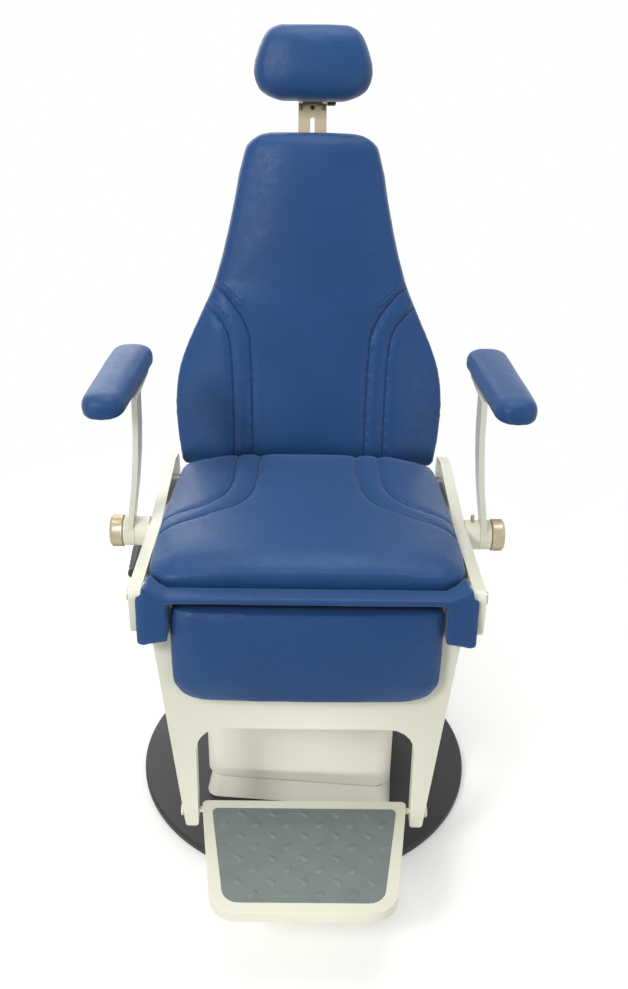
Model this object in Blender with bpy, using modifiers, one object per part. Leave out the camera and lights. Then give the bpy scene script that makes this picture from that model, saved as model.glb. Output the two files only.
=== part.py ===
"""Motorised ear, nose and throat examination chair, in metres, +Z up.

The origin lies on the floor under the centre of the round base, on the lift and swivel axis.
The sitter faces -Y, and +X is on the right for someone who looks at the chair from the front.
"""

import math

import bmesh
import bpy
from mathutils import Matrix, Vector

# Clearances
GAP = 0.0003
PLAY = 0.0004

# Base and the skirt at the column's foot
MAT_RADIUS = 0.302
MAT_HEIGHT = 0.003
BASE_RADIUS = 0.310
BASE_THICKNESS = 0.012
BASE_ROUNDING = 0.005
PLINTH_HEIGHT = 0.042
PLINTH_LIP = 0.0015
PLINTH_FLARE = 0.0095
PLINTH_WALL = 0.003
GLAND_RADIUS = 0.009
GLAND_LENGTH = 0.018

# Lift column, turned a little against the seat
COLUMN_YAW = math.radians(-5)
COVER_WALL = 0.0025
LOWER_COVER_HALF_X = 0.159
LOWER_COVER_HALF_Y = 0.131
LOWER_COVER_CORNER = 0.022
COVER_SLIDE_GAP = 0.0065
UPPER_COVER_BOTTOM = 0.067
LIFT_TRAVEL = 0.200
COVER_LAP = 0.032
GUIDE_RADIUS = 0.060
GUIDE_WALL = 0.006
GUIDE_HEIGHT = 0.320
SLIDE_TUBE_WALL = 0.005
SLIDE_TUBE_FLOOR_GAP = 0.029
LIFT_CYLINDER_RADIUS = 0.030
LIFT_CYLINDER_HEIGHT = 0.290
LIFT_ROD_RADIUS = 0.015
LIFT_CYLINDER_FLOOR = 0.026
LIFT_ROD_FLOOR_GAP = 0.013
LIFT_FLANGE_THICKNESS = 0.010
MOTOR_RADIUS = 0.034
MOTOR_HEIGHT = 0.150
MOTOR_X = 0.108
GEARBOX_RADIUS = 0.040
GEARBOX_HEIGHT = 0.050

# Swivel head
HEAD_PLATE_BOTTOM = 0.385
HEAD_PLATE_THICKNESS = 0.012
RACE_RADIUS = 0.100
RACE_BORE = 0.060
RACE_THICKNESS = 0.010
SPINDLE_RADIUS = 0.025

# Seat chassis
CHASSIS_HALF_X = 0.150
CHASSIS_HALF_Y = 0.145
CHASSIS_PLATE = 0.008
RAIL_Y = 0.125
RAIL_WIDTH = 0.030
RAIL_HEIGHT = 0.026
WEB_HALF_X = 0.045
WEB_THICKNESS = 0.010
SEAT_BOARD_THICKNESS = 0.012
SEAT_BOARD_HALF_X = 0.222
SEAT_BOARD_FRONT = -0.165
SEAT_BOARD_REAR = 0.150
SEAT_BOARD_CORNER = 0.020
SEAT_BOARD_TOP = 0.5405

# Side frames
SIDE_INNER_X = 0.2455
SIDE_THICKNESS = 0.019
SIDE_ROUNDING = 0.003
NOSE_RADIUS = 0.016
NOSE_BOTTOM = 0.494
SIDE_DIP_Z = 0.556
EAR_TOP = 0.576
EAR_FRONT = 0.150
EAR_SLOPE = 0.012
EAR_RADIUS = 0.020
EAR_REAR_REACH = 0.024
NOSE_LOWER_RADIUS = 0.026
SIDE_BOTTOM = 0.450
SIDE_BOTTOM_FRONT = -0.170
SIDE_BOTTOM_REAR = 0.120
SIDE_BOTTOM_RADIUS = 0.070
SIDE_DIP_RADIUS = 0.200

# Recline hinge and backrest. u runs up the backrest and n towards its rear.
RECLINE_Y = 0.185
RECLINE_Z = 0.515
BACK_TILT = math.radians(13)
SHAFT_RADIUS = 0.0125
BACK_BOTTOM = 0.030
BACK_TOP = 0.632
BACK_FRONT = -0.026
BACK_EDGE = 0.016
BACK_REAR = 0.045
BACK_TOP_CORNER = 0.050
BACK_END_ROUNDING = 0.024
BACK_OUTLINE = (
    (0.030, 0.2390),
    (0.070, 0.2450),
    (0.100, 0.2490),
    (0.150, 0.2505),
    (0.205, 0.2450),
    (0.255, 0.2290),
    (0.305, 0.2060),
    (0.375, 0.1750),
    (0.465, 0.1500),
    (0.560, 0.1310),
    (0.640, 0.1220),
)
BACK_CHANNELS = ((0.105, 0.235, 0.115, 0.140), (0.140, 0.215, 0.110, 0.140))
CHANNEL_DEPTH = 0.009
CHANNEL_HALF_WIDTH = 0.009
BACK_BOARD_THICKNESS = 0.012
BACK_BOARD_INSET = 0.014
BACK_ARM_X = 0.212
BACK_ARM_THICKNESS = 0.010
BACK_ARM_BOSS = 0.021
BACK_ARM_TOP = 0.180
BACK_ARM_DEPTH = 0.022
REAR_COVER_HALF_X = 0.190
REAR_COVER_TOP_HALF_X = 0.095
REAR_COVER_BOTTOM = 0.050
REAR_COVER_TOP = 0.606
REAR_COVER_DEPTH = 0.030
REAR_COVER_WALL = 0.003
REAR_COVER_ROUNDING = 0.010
REAR_COVER_CORNER = 0.035
REAR_COVER_FLARE = 0.120

# Recline drive. The cranks swing evenly to both sides of straight down.
RECLINE_RANGE = math.radians(70)
CRANK_RADIUS = 0.070
CRANK_PIN_RADIUS = 0.006
CRANK_THICKNESS = 0.010
CRANK_BOSS = 0.020
CRANK_TIP = 0.012
LINK_X = 0.187
LINK_THICKNESS = 0.006
LINK_HALF_HEIGHT = 0.010
ACTUATOR_X = 0.118
ACTUATOR_RADIUS = 0.020
ACTUATOR_FRONT = -0.098
ACTUATOR_REAR = 0.100
ACTUATOR_BORE_FRONT = -0.060
ACTUATOR_ROD_RADIUS = 0.010
ACTUATOR_ROD_FRONT = 0.060
ACTUATOR_MOTOR_X = 0.072
ACTUATOR_MOTOR_RADIUS = 0.019
YOKE_THICKNESS = 0.018
YOKE_RIM = 0.009
YOKE_SLACK = 0.0018

# Headrest
STEM_HALF_X = 0.0255
STEM_THICKNESS = 0.008
STEM_BOTTOM = 0.432
STEM_TOP = 0.700
STEM_CORNER = 0.006
STEM_SLOT_HALF = 0.004
STEM_SLOT_BOTTOM = 0.446
STEM_SLOT_TOP = 0.664
GUIDE_BLOCK_BOTTOM = 0.530
GUIDE_BLOCK_TOP = 0.592
GUIDE_BLOCK_HALF_X = 0.034
GUIDE_BLOCK_WALL = 0.006
CLAMP_U = 0.568
CLAMP_SHANK_RADIUS = 0.0035
CLAMP_KNOB_RADIUS = 0.021
CLAMP_KNOB_DEPTH = 0.022
HEAD_HINGE_U = 0.693
HEAD_HINGE_DEPTH = 0.052
HEAD_LUG_THICKNESS = 0.008
HEAD_LUG_RADIUS = 0.012
HEAD_PIN_RADIUS = 0.005
HEAD_KNOB_RADIUS = 0.011
HEAD_KNOB_LENGTH = 0.016
HEAD_PAD_BOTTOM = 0.685
HEAD_PAD_TOP = 0.806
HEAD_PAD_FRONT = -0.034
HEAD_PAD_EDGE = 0.006
HEAD_PAD_REAR = 0.029
HEAD_PAD_ROUNDING = 0.030
HEAD_OUTLINE = (
    (0.685, 0.056),
    (0.690, 0.074),
    (0.698, 0.090),
    (0.710, 0.099),
    (0.734, 0.104),
    (0.760, 0.098),
    (0.780, 0.090),
    (0.797, 0.079),
    (0.806, 0.062),
)
HEAD_PLATE_HALF_X = 0.055
HEAD_PLATE_HALF_U = 0.032
HEAD_PLATE_STEEL = 0.004

# Seat cushion
SEAT_REAR = 0.163
SEAT_FRONT = -0.2565
SEAT_HALF_X = 0.2445
SEAT_REAR_HALF_X = 0.227
SEAT_FRONT_CORNER = 0.045
SEAT_REAR_CORNER = 0.030
SEAT_END_ROUNDING = 0.034
SEAT_THICKNESS = 0.058
SEAT_EDGE_HEIGHT = 0.026
SEAT_CHANNELS = ((0.088, 0.035, 0.150, 0.150), (0.1285, 0.035, 0.120, 0.110))

# Leg rest. y runs to the rear and z up along the leg, from the hinge.
LEG_HINGE_Y = -0.272
LEG_HINGE_Z = 0.555
LEG_TILT = math.radians(5)
LEG_FRAME_FRONT = 0.0105
LEG_FRAME_DEPTH = 0.024
LEG_FRAME_TOP = -0.019
LEG_BOTTOM = -0.439
LEG_SIDE_GAP = 0.0012
LEG_INNER_HALF_X = 0.1750
LEG_FOOT_WIDTH = 0.0210
CROSSBAR_BOTTOM = -0.2455
CROSSBAR_TOP = -0.135
CROSSBAR_FILLET = 0.042
ARM_INNER_X = 0.205
LEG_ROUNDING = 0.0025
LEG_CORNER = 0.005
LEG_EAR_RADIUS = 0.014
LEG_EAR_THICKNESS = 0.006
LEG_EAR_FOOT = -0.052
LEG_PIN_RADIUS = 0.006
LEG_PIN_CAP_RADIUS = 0.010
LEG_PIN_CAP = 0.003
CALF_HALF_X = 0.207
CALF_TOP = -0.021
CALF_BOTTOM = -0.179
CALF_FRONT = -0.028
CALF_EDGE = -0.006
CALF_CORNER = 0.046
CALF_TOP_CORNER = 0.006
CALF_ROUNDING = 0.020
APRON_HALF_X = 0.2545
APRON_WING_INNER = 0.2085
APRON_FRONT = -0.026
APRON_STRIP_TOP = 0.006
APRON_STRIP_BOTTOM = -0.006
APRON_STRIP_REAR = 0.0125
APRON_WING_TOP = 0.008
APRON_WING_BOTTOM = -0.077
APRON_WING_RISE = 0.008
APRON_FLAP_TOP = 0.020
APRON_FLAP_REACH = 0.030
APRON_SEAT_GAP = 0.002
APRON_EDGE = 0.005
APRON_STEP = 0.0005
APRON_RIM = 0.0045

# Footplate, from its pivot
FOOT_PIVOT_Z = -0.415
FOOT_PIVOT_RADIUS = 0.005
FOOT_PIVOT_CAP_RADIUS = 0.010
FOOT_PIVOT_CAP = 0.004
FOOT_PIVOT_DEPTH = 0.018
TRAY_REAR_HALF_X = 0.1705
TRAY_FRONT_HALF_X = 0.1380
TRAY_REAR = 0.010
TRAY_FRONT = -0.2155
TRAY_TOP = 0.0105
TRAY_THICKNESS = 0.020
TRAY_CORNER = 0.045
TRAY_REAR_CORNER = 0.008
TRAY_WALL = 0.004
TRAY_RIM = 0.018
TRAY_ROUNDING = 0.003
MAT_THICKNESS = 0.004
MAT_PROUD = 0.001

# Armrests
HUB_Y = -0.050
HUB_Z = 0.537
HUB_RADIUS = 0.025
HUB_LENGTH = 0.0240
AXLE_RADIUS = 0.009
EYE_THICKNESS = 0.0190
ARM_KNOB_RADIUS = 0.027
ARM_KNOB_LENGTH = 0.022
ARM_KNOB_CAP = 0.006
POST_THICKNESS = 0.009
POST_WIDTH = 0.042
POST_LEAN = 0.0265
POST_FORWARD = 0.008
POST_HEIGHT = 0.269
POST_STEPS = 10
ARM_PLATE_HALF_X = 0.018
ARM_PLATE_HALF_Y = 0.060
ARM_PLATE_THICKNESS = 0.004
ARM_PAD_REAR_X = 0.2870
ARM_PAD_FRONT_X = 0.2990
ARM_PAD_HALF_X = 0.034
ARM_PAD_FRONT_HALF_X = 0.031
ARM_PAD_REAR = 0.044
ARM_PAD_FRONT = -0.212
ARM_PAD_THICKNESS = 0.036
ARM_PAD_EDGE_HEIGHT = 0.014
ARM_PAD_CORNER = 0.028
ARM_PAD_ROUNDING = 0.022
STOP_PIN_RADIUS = 0.003
STOP_PIN_LENGTH = 0.012

# Swivel lock lever
LEVER_Y = 0.050
LEVER_Z = 0.438
LEVER_RADIUS = 0.005
LEVER_INNER_X = -0.100
LEVER_OUTER_X = -0.299
LEVER_BEND = 0.025
LEVER_BUSH_X = -0.130
LEVER_BUSH_LENGTH = 0.030
LEVER_BUSH_HALF = 0.0115
GRIP_Z = 0.460
GRIP_REAR = 0.018
GRIP_FRONT = -0.070
GRIP_REAR_RADIUS = 0.0130
GRIP_FRONT_RADIUS = 0.0085
GRIP_RIBS = 5
GRIP_RIB_DEPTH = 0.0015
GRIP_BORE_DEPTH = 0.025

# Levels and places that follow from the sizes above
BASE_BOTTOM = MAT_HEIGHT + GAP
BASE_TOP = BASE_BOTTOM + BASE_THICKNESS
PLINTH_BOTTOM = BASE_TOP + GAP
PLINTH_TOP = PLINTH_BOTTOM + PLINTH_HEIGHT
LOWER_COVER_TOP = UPPER_COVER_BOTTOM + LIFT_TRAVEL + COVER_LAP
UPPER_COVER_HALF_X = LOWER_COVER_HALF_X + COVER_SLIDE_GAP + COVER_WALL
UPPER_COVER_HALF_Y = LOWER_COVER_HALF_Y + COVER_SLIDE_GAP + COVER_WALL
UPPER_COVER_CORNER = LOWER_COVER_CORNER + COVER_SLIDE_GAP + COVER_WALL
HEAD_PLATE_TOP = HEAD_PLATE_BOTTOM + HEAD_PLATE_THICKNESS
LOWER_RACE_TOP = HEAD_PLATE_TOP + GAP + RACE_THICKNESS
UPPER_RACE_TOP = LOWER_RACE_TOP + GAP + RACE_THICKNESS
CHASSIS_BOTTOM = UPPER_RACE_TOP + GAP
CHASSIS_TOP = CHASSIS_BOTTOM + CHASSIS_PLATE
SEAT_BOARD_BOTTOM = SEAT_BOARD_TOP - SEAT_BOARD_THICKNESS
RAIL_TOP = SEAT_BOARD_BOTTOM - GAP
RAIL_BOTTOM = RAIL_TOP - RAIL_HEIGHT
SEAT_BOTTOM = SEAT_BOARD_TOP + GAP
SEAT_EDGE = SEAT_BOTTOM + SEAT_EDGE_HEIGHT
SEAT_TOP = SEAT_BOTTOM + SEAT_THICKNESS
SIDE_OUTER_X = SIDE_INNER_X + SIDE_THICKNESS
HUB_START_X = SIDE_OUTER_X + GAP
HUB_END_X = HUB_START_X + HUB_LENGTH
EYE_START_X = HUB_END_X + GAP
EYE_END_X = EYE_START_X + EYE_THICKNESS
ARM_KNOB_START_X = EYE_END_X + GAP
ARM_KNOB_END_X = ARM_KNOB_START_X + ARM_KNOB_LENGTH
BACK_BOARD_FRONT = BACK_REAR + GAP
BACK_BOARD_REAR = BACK_BOARD_FRONT + BACK_BOARD_THICKNESS
BACK_FITTING = BACK_BOARD_REAR + GAP
STEM_FRONT = BACK_FITTING + GUIDE_BLOCK_WALL + GAP
STEM_REAR = STEM_FRONT + STEM_THICKNESS
GUIDE_BLOCK_REAR = STEM_REAR + GAP + GUIDE_BLOCK_WALL
REAR_COVER_REAR = BACK_FITTING + REAR_COVER_DEPTH
CRANK_REST = RECLINE_RANGE / 2
CRANK_REST_Y = CRANK_RADIUS * math.sin(CRANK_REST)
CRANK_REST_Z = -CRANK_RADIUS * math.cos(CRANK_REST)
LINK_CRANK_X = LINK_X + LINK_THICKNESS / 2 + GAP
ACTUATOR_Z = RECLINE_Z + (CRANK_REST_Z - CRANK_RADIUS) / 2
ACTUATOR_CRANK_X = ACTUATOR_X - YOKE_THICKNESS / 2 - GAP - CRANK_THICKNESS
LEG_FRAME_REAR = LEG_FRAME_FRONT + LEG_FRAME_DEPTH
LEG_BOTTOM_HALF_X = LEG_INNER_HALF_X + LEG_FOOT_WIDTH
LEG_EAR_OUTER_X = SIDE_INNER_X - GAP
LEG_EAR_INNER_X = LEG_EAR_OUTER_X - LEG_EAR_THICKNESS
LEG_TOP_HALF_X = LEG_EAR_OUTER_X - LEG_SIDE_GAP
FOOT_PIVOT_Y = (LEG_FRAME_FRONT + LEG_FRAME_REAR) / 2
TRAY_BOTTOM = TRAY_TOP - TRAY_THICKNESS
PAD_REAR = LEG_FRAME_FRONT - GAP

parts = bpy.data.collections.new("ent_chair")
helpers = bpy.data.collections.new("cutters")


def start_scene():
    for obj in list(bpy.data.objects):
        bpy.data.objects.remove(obj)
    bpy.context.scene.collection.children.link(parts)
    bpy.context.scene.collection.children.link(helpers)


def finish(name, colour, roughness, metallic=0.0):
    """A Principled material, its colour given in linear values."""
    made = bpy.data.materials.new(name)
    made.use_nodes = True
    shader = made.node_tree.nodes["Principled BSDF"]
    shader.inputs["Base Color"].default_value = (*colour, 1.0)
    shader.inputs["Roughness"].default_value = roughness
    shader.inputs["Metallic"].default_value = metallic
    return made


BLUE_VINYL = finish("blue_vinyl", (0.028, 0.093, 0.240), 0.45)
CREAM_PAINT = finish("cream_paint", (0.780, 0.780, 0.640), 0.35)
COVER_ABS = finish("cover_abs", (0.690, 0.665, 0.578), 0.45)
BLACK_PAINT = finish("black_paint", (0.033, 0.031, 0.036), 0.35)
TREAD_RUBBER = finish("tread_rubber", (0.168, 0.198, 0.188), 0.60)
BLACK_PLASTIC = finish("black_plastic", (0.013, 0.013, 0.012), 0.50)
BLACK_RUBBER = finish("black_rubber", (0.020, 0.020, 0.020), 0.80)
STEEL = finish("steel", (0.480, 0.480, 0.480), 0.35, 1.0)
NICKEL = finish("nickel", (0.400, 0.355, 0.260), 0.30, 1.0)
BIRCH_PLY = finish("birch_ply", (0.520, 0.380, 0.220), 0.60)


def axis(name, place, parent=None, tilt=0.0, yaw=0.0):
    """An empty on a joint's axis, the parent of the pieces that move about it."""
    made = bpy.data.objects.new(name, None)
    made.location = place
    made.rotation_euler = (tilt, 0.0, yaw)
    made.parent = parent
    parts.objects.link(made)
    return made


def add(name, mesh, material, parent, smooth=True):
    made = bpy.data.objects.new(name, mesh)
    mesh.materials.append(material)
    made.parent = parent
    parts.objects.link(made)
    if smooth:
        mesh.shade_smooth()
        mesh.set_sharp_from_angle(angle=math.radians(35))
    return made


def mesh_from(bm, name):
    mesh = bpy.data.meshes.new(name)
    bm.to_mesh(mesh)
    bm.free()
    return mesh


def box_mesh(low, high):
    bm = bmesh.new()
    bmesh.ops.create_cube(bm, size=1.0)
    low = Vector(low)
    high = Vector(high)
    bmesh.ops.scale(bm, vec=high - low, verts=bm.verts)
    bmesh.ops.translate(bm, vec=(low + high) / 2, verts=bm.verts)
    return mesh_from(bm, "box")


TURN = {
    "X": Matrix.Rotation(math.radians(90), 4, "Y"),
    "Y": Matrix.Rotation(math.radians(-90), 4, "X"),
    "Z": Matrix.Identity(4),
}


def rod_mesh(direction, radius, start, end, sides=24):
    """A cylinder along one axis: start is one end's centre, end the far coordinate."""
    start = Vector(start)
    index = "XYZ".index(direction)
    length = end - start[index]
    bm = bmesh.new()
    bmesh.ops.create_cone(
        bm, cap_ends=True, segments=sides, radius1=radius, radius2=radius, depth=abs(length)
    )
    middle = start.copy()
    middle[index] += length / 2
    bmesh.ops.transform(bm, matrix=Matrix.Translation(middle) @ TURN[direction], verts=bm.verts)
    return mesh_from(bm, "rod")


def turned(name, profile, material, parent, direction="Z", place=(0, 0, 0), steps=32):
    """A turned solid: profile points are (radius, height) and run down the outer side."""
    bm = bmesh.new()
    points = [bm.verts.new((radius, 0.0, height)) for radius, height in profile]
    for first, second in zip(points, points[1:]):
        bm.edges.new((first, second))
    made = add(name, mesh_from(bm, name), material, parent, smooth=False)
    made.matrix_local = Matrix.Translation(place) @ TURN[direction]
    screw = made.modifiers.new("turn", "SCREW")
    screw.axis = "Z"
    screw.angle = math.tau
    screw.steps = steps
    screw.render_steps = steps
    screw.use_merge_vertices = True
    screw.merge_threshold = 0.00001
    screw.use_smooth_shade = True
    return made


def rounded(corners, steps=5):
    """A closed outline through corners (a, b, radius), each rounded by an arc."""
    outline = []
    for i, (a, b, radius) in enumerate(corners):
        corner = Vector((a, b))
        to_last = (Vector(corners[i - 1][:2]) - corner).normalized()
        to_next = (Vector(corners[(i + 1) % len(corners)][:2]) - corner).normalized()
        if radius == 0:
            outline.append((a, b))
            continue
        half = to_last.angle(to_next) / 2
        centre = corner + (to_last + to_next).normalized() * radius / math.sin(half)
        reach = radius / math.tan(half)
        first = corner + to_last * reach - centre
        last = corner + to_next * reach - centre
        begin = math.atan2(first.y, first.x)
        sweep = (math.atan2(last.y, last.x) - begin + math.pi) % math.tau - math.pi
        for step in range(steps + 1):
            angle = begin + sweep * step / steps
            outline.append((centre.x + radius * math.cos(angle), centre.y + radius * math.sin(angle)))
    return outline


def circle(radius, steps=36, centre=(0.0, 0.0)):
    angles = [math.tau * step / steps for step in range(steps)]
    return [(centre[0] + radius * math.cos(a), centre[1] + radius * math.sin(a)) for a in angles]


def rectangle(half_x, half_y, corner, steps=5):
    return rounded(
        [(x * half_x, y * half_y, corner) for x, y in ((1, -1), (1, 1), (-1, 1), (-1, -1))], steps
    )


def mirrored(right_half):
    """Corners of the right half, bottom to top, continued by their mirror images."""
    return right_half + [(-x, y, radius) for x, y, radius in reversed(right_half)]


PLANES = {
    "XY": Matrix.Identity(4),
    "XZ": Matrix(((1, 0, 0, 0), (0, 0, -1, 0), (0, 1, 0, 0), (0, 0, 0, 1))),
    "YZ": Matrix(((0, 0, 1, 0), (1, 0, 0, 0), (0, 1, 0, 0), (0, 0, 0, 1))),
}


def plate_mesh(plane, outlines, low, high):
    """A flat outline, with any holes, given thickness from low to high across its plane."""
    curve = bpy.data.curves.new("outline", "CURVE")
    curve.dimensions = "2D"
    curve.fill_mode = "BOTH"
    curve.extrude = (high - low) / 2
    for outline in outlines:
        spline = curve.splines.new("POLY")
        spline.points.add(len(outline) - 1)
        spline.use_cyclic_u = True
        for point, (a, b) in zip(spline.points, outline):
            point.co = (a, b, 0.0, 1.0)
    drawn = bpy.data.objects.new("outline", curve)
    parts.objects.link(drawn)
    graph = bpy.context.evaluated_depsgraph_get()
    mesh = bpy.data.meshes.new_from_object(drawn.evaluated_get(graph))
    bpy.data.objects.remove(drawn)
    middle = (low + high) / 2
    across = -middle if plane == "XZ" else middle
    bm = bmesh.new()
    bm.from_mesh(mesh)
    bmesh.ops.remove_doubles(bm, verts=bm.verts, dist=0.000001)
    bmesh.ops.translate(bm, vec=(0.0, 0.0, across), verts=bm.verts)
    bmesh.ops.transform(bm, matrix=PLANES[plane], verts=bm.verts)
    bmesh.ops.recalc_face_normals(bm, faces=bm.faces)
    bpy.data.meshes.remove(mesh)
    return mesh_from(bm, "plate")


def helper(name, mesh, parent):
    made = bpy.data.objects.new(name, mesh)
    made.parent = parent
    made.hide_render = True
    made.display_type = "WIRE"
    helpers.objects.link(made)
    return made


def combine(obj, operation, mesh):
    """Cuts a mesh out of an object, or joins it on, in the frame of the object's parent."""
    count = len(obj.modifiers)
    tool = helper(f"{obj.name}_{operation.lower()}_{count}", mesh, obj.parent)
    boolean = obj.modifiers.new(tool.name, "BOOLEAN")
    boolean.operation = operation
    boolean.solver = "EXACT"
    boolean.object = tool


def round_edges(obj, width, segments=1, angle=50):
    bevel = obj.modifiers.new("rounding", "BEVEL")
    bevel.width = width
    bevel.segments = segments
    bevel.limit_method = "ANGLE"
    bevel.angle_limit = math.radians(angle)


def skin_mesh(rows, name):
    """A closed skin over rows of points, each row a closed section with the same count."""
    bm = bmesh.new()
    loops = [[bm.verts.new(point) for point in row] for row in rows]
    for lower, upper in zip(loops, loops[1:]):
        for i in range(len(lower)):
            j = (i + 1) % len(lower)
            bm.faces.new((lower[i], lower[j], upper[j], upper[i]))
    bm.faces.new(loops[0])
    bm.faces.new(loops[-1])
    bmesh.ops.recalc_face_normals(bm, faces=bm.faces)
    return mesh_from(bm, name)


def loft(name, rows, material, parent):
    return add(name, skin_mesh(rows, name), material, parent)


def through(points, at):
    """A smooth value at one place along control points (place, value)."""
    if at <= points[0][0]:
        return points[0][1]
    for i in range(len(points) - 1):
        (p1, v1), (p2, v2) = points[i], points[i + 1]
        if at > p2:
            continue
        p0, v0 = points[max(i - 1, 0)]
        p3, v3 = points[min(i + 2, len(points) - 1)]
        span = p2 - p1
        t = (at - p1) / span
        slope1 = (v2 - v0) / (p2 - p0) * span
        slope2 = (v3 - v1) / (p3 - p1) * span
        return (
            (2 * t**3 - 3 * t**2 + 1) * v1
            + (t**3 - 2 * t**2 + t) * slope1
            + (3 * t**2 - 2 * t**3) * v2
            + (t**3 - t**2) * slope2
        )
    return points[-1][1]


def corner_inset(distance, radius):
    """How far a round corner draws an edge in, at a distance from the end of the edge."""
    if distance >= radius:
        return 0.0
    short = radius - max(distance, 0.0)
    return radius - math.sqrt(radius * radius - short * short)


def channel_at(channel, at, direction):
    """Half spacing and half width of a sewn channel, measured straight across the pad.

    A channel is straight up to its bend, then a quarter ellipse that runs out to the edge.
    """
    spacing, bend, reach_out, reach_on = channel
    beyond = min(max((at - bend) * direction / reach_on, 0.0), 1.0)
    place = spacing + reach_out * (1 - math.sqrt(1 - beyond * beyond))
    slope = reach_out / reach_on * beyond / math.sqrt(1 - min(beyond, 0.9) ** 2)
    return place, CHANNEL_HALF_WIDTH * math.sqrt(1 + slope * slope)


def channel_rows(channels, direction):
    """Places along a pad that follow the bends of its channels at even angles."""
    rows = []
    for _, bend, _, reach_on in channels:
        for angle in (0, 20, 38, 53, 66, 78, 90):
            rows.append(bend + direction * reach_on * math.sin(math.radians(angle)))
    return sorted(rows)


def crown(share):
    """Height of a stuffed surface between its middle (1) and its edge (0)."""
    return math.sqrt(max(1 - abs(share) ** 6, 0.0))


def pad_section(half, edge, face, back, channels=(), dip=0.0):
    """A stuffed section as (across, height): a crowned face, a seam at the edge and a flat back.

    Each channel is its half spacing and half width. It draws the face in by dip, and fades
    out where it meets the edge.
    """
    across = [(half, 0.0), (half * 0.985, 0.0)]
    if not channels:
        across += [(half * 0.94, 0.0), (half * 0.85, 0.0)]
    for place, width in sorted(channels, reverse=True):
        fade = min(max((0.975 * half - place) / (0.03 * half), 0.0), 1.0)
        for offset, depth in ((1, 0.0), (0, fade), (-1, 0.0)):
            room = half * (0.97 - 0.014 * (len(across) - 2))
            across.append((min(place + offset * width, room), depth))
    across.append((across[-1][0] * 0.5, 0.0))
    right = []
    for place, depth in across:
        height = edge + (face - edge) * crown(place / half)
        right.append((place, height - math.copysign(dip * depth, face - edge)))
    seam = 0.97 * half
    inset = back + (edge - back) * 0.25
    right_back = [(half * 0.993, (edge + inset) / 2), (seam, inset), (seam - 0.006, back)]
    section = [(-x, height) for x, height in right] + [(0.0, face)] + right[::-1]
    section += right_back + [(-x, height) for x, height in reversed(right_back)]
    return section


def ends_of(low, high, corner):
    """Places along a pad: close together over its round ends, evenly between."""
    share = (0.0, 0.08, 0.25, 0.55, 1.0)
    return [low + corner * s for s in share], [high - corner * s for s in reversed(share)]


def between(low, high, count):
    return [low + (high - low) * (i + 1) / (count + 1) for i in range(count)]


def skirt_ring(grow, flare, z):
    """An outline round the lower cover; the flare widens its sides and front, not its rear."""
    half_x = LOWER_COVER_HALF_X + grow + flare
    half_y = LOWER_COVER_HALF_Y + grow + flare / 2
    outline = rectangle(half_x, half_y, LOWER_COVER_CORNER)
    return [(x, y - flare / 2, z) for x, y in outline]


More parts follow.
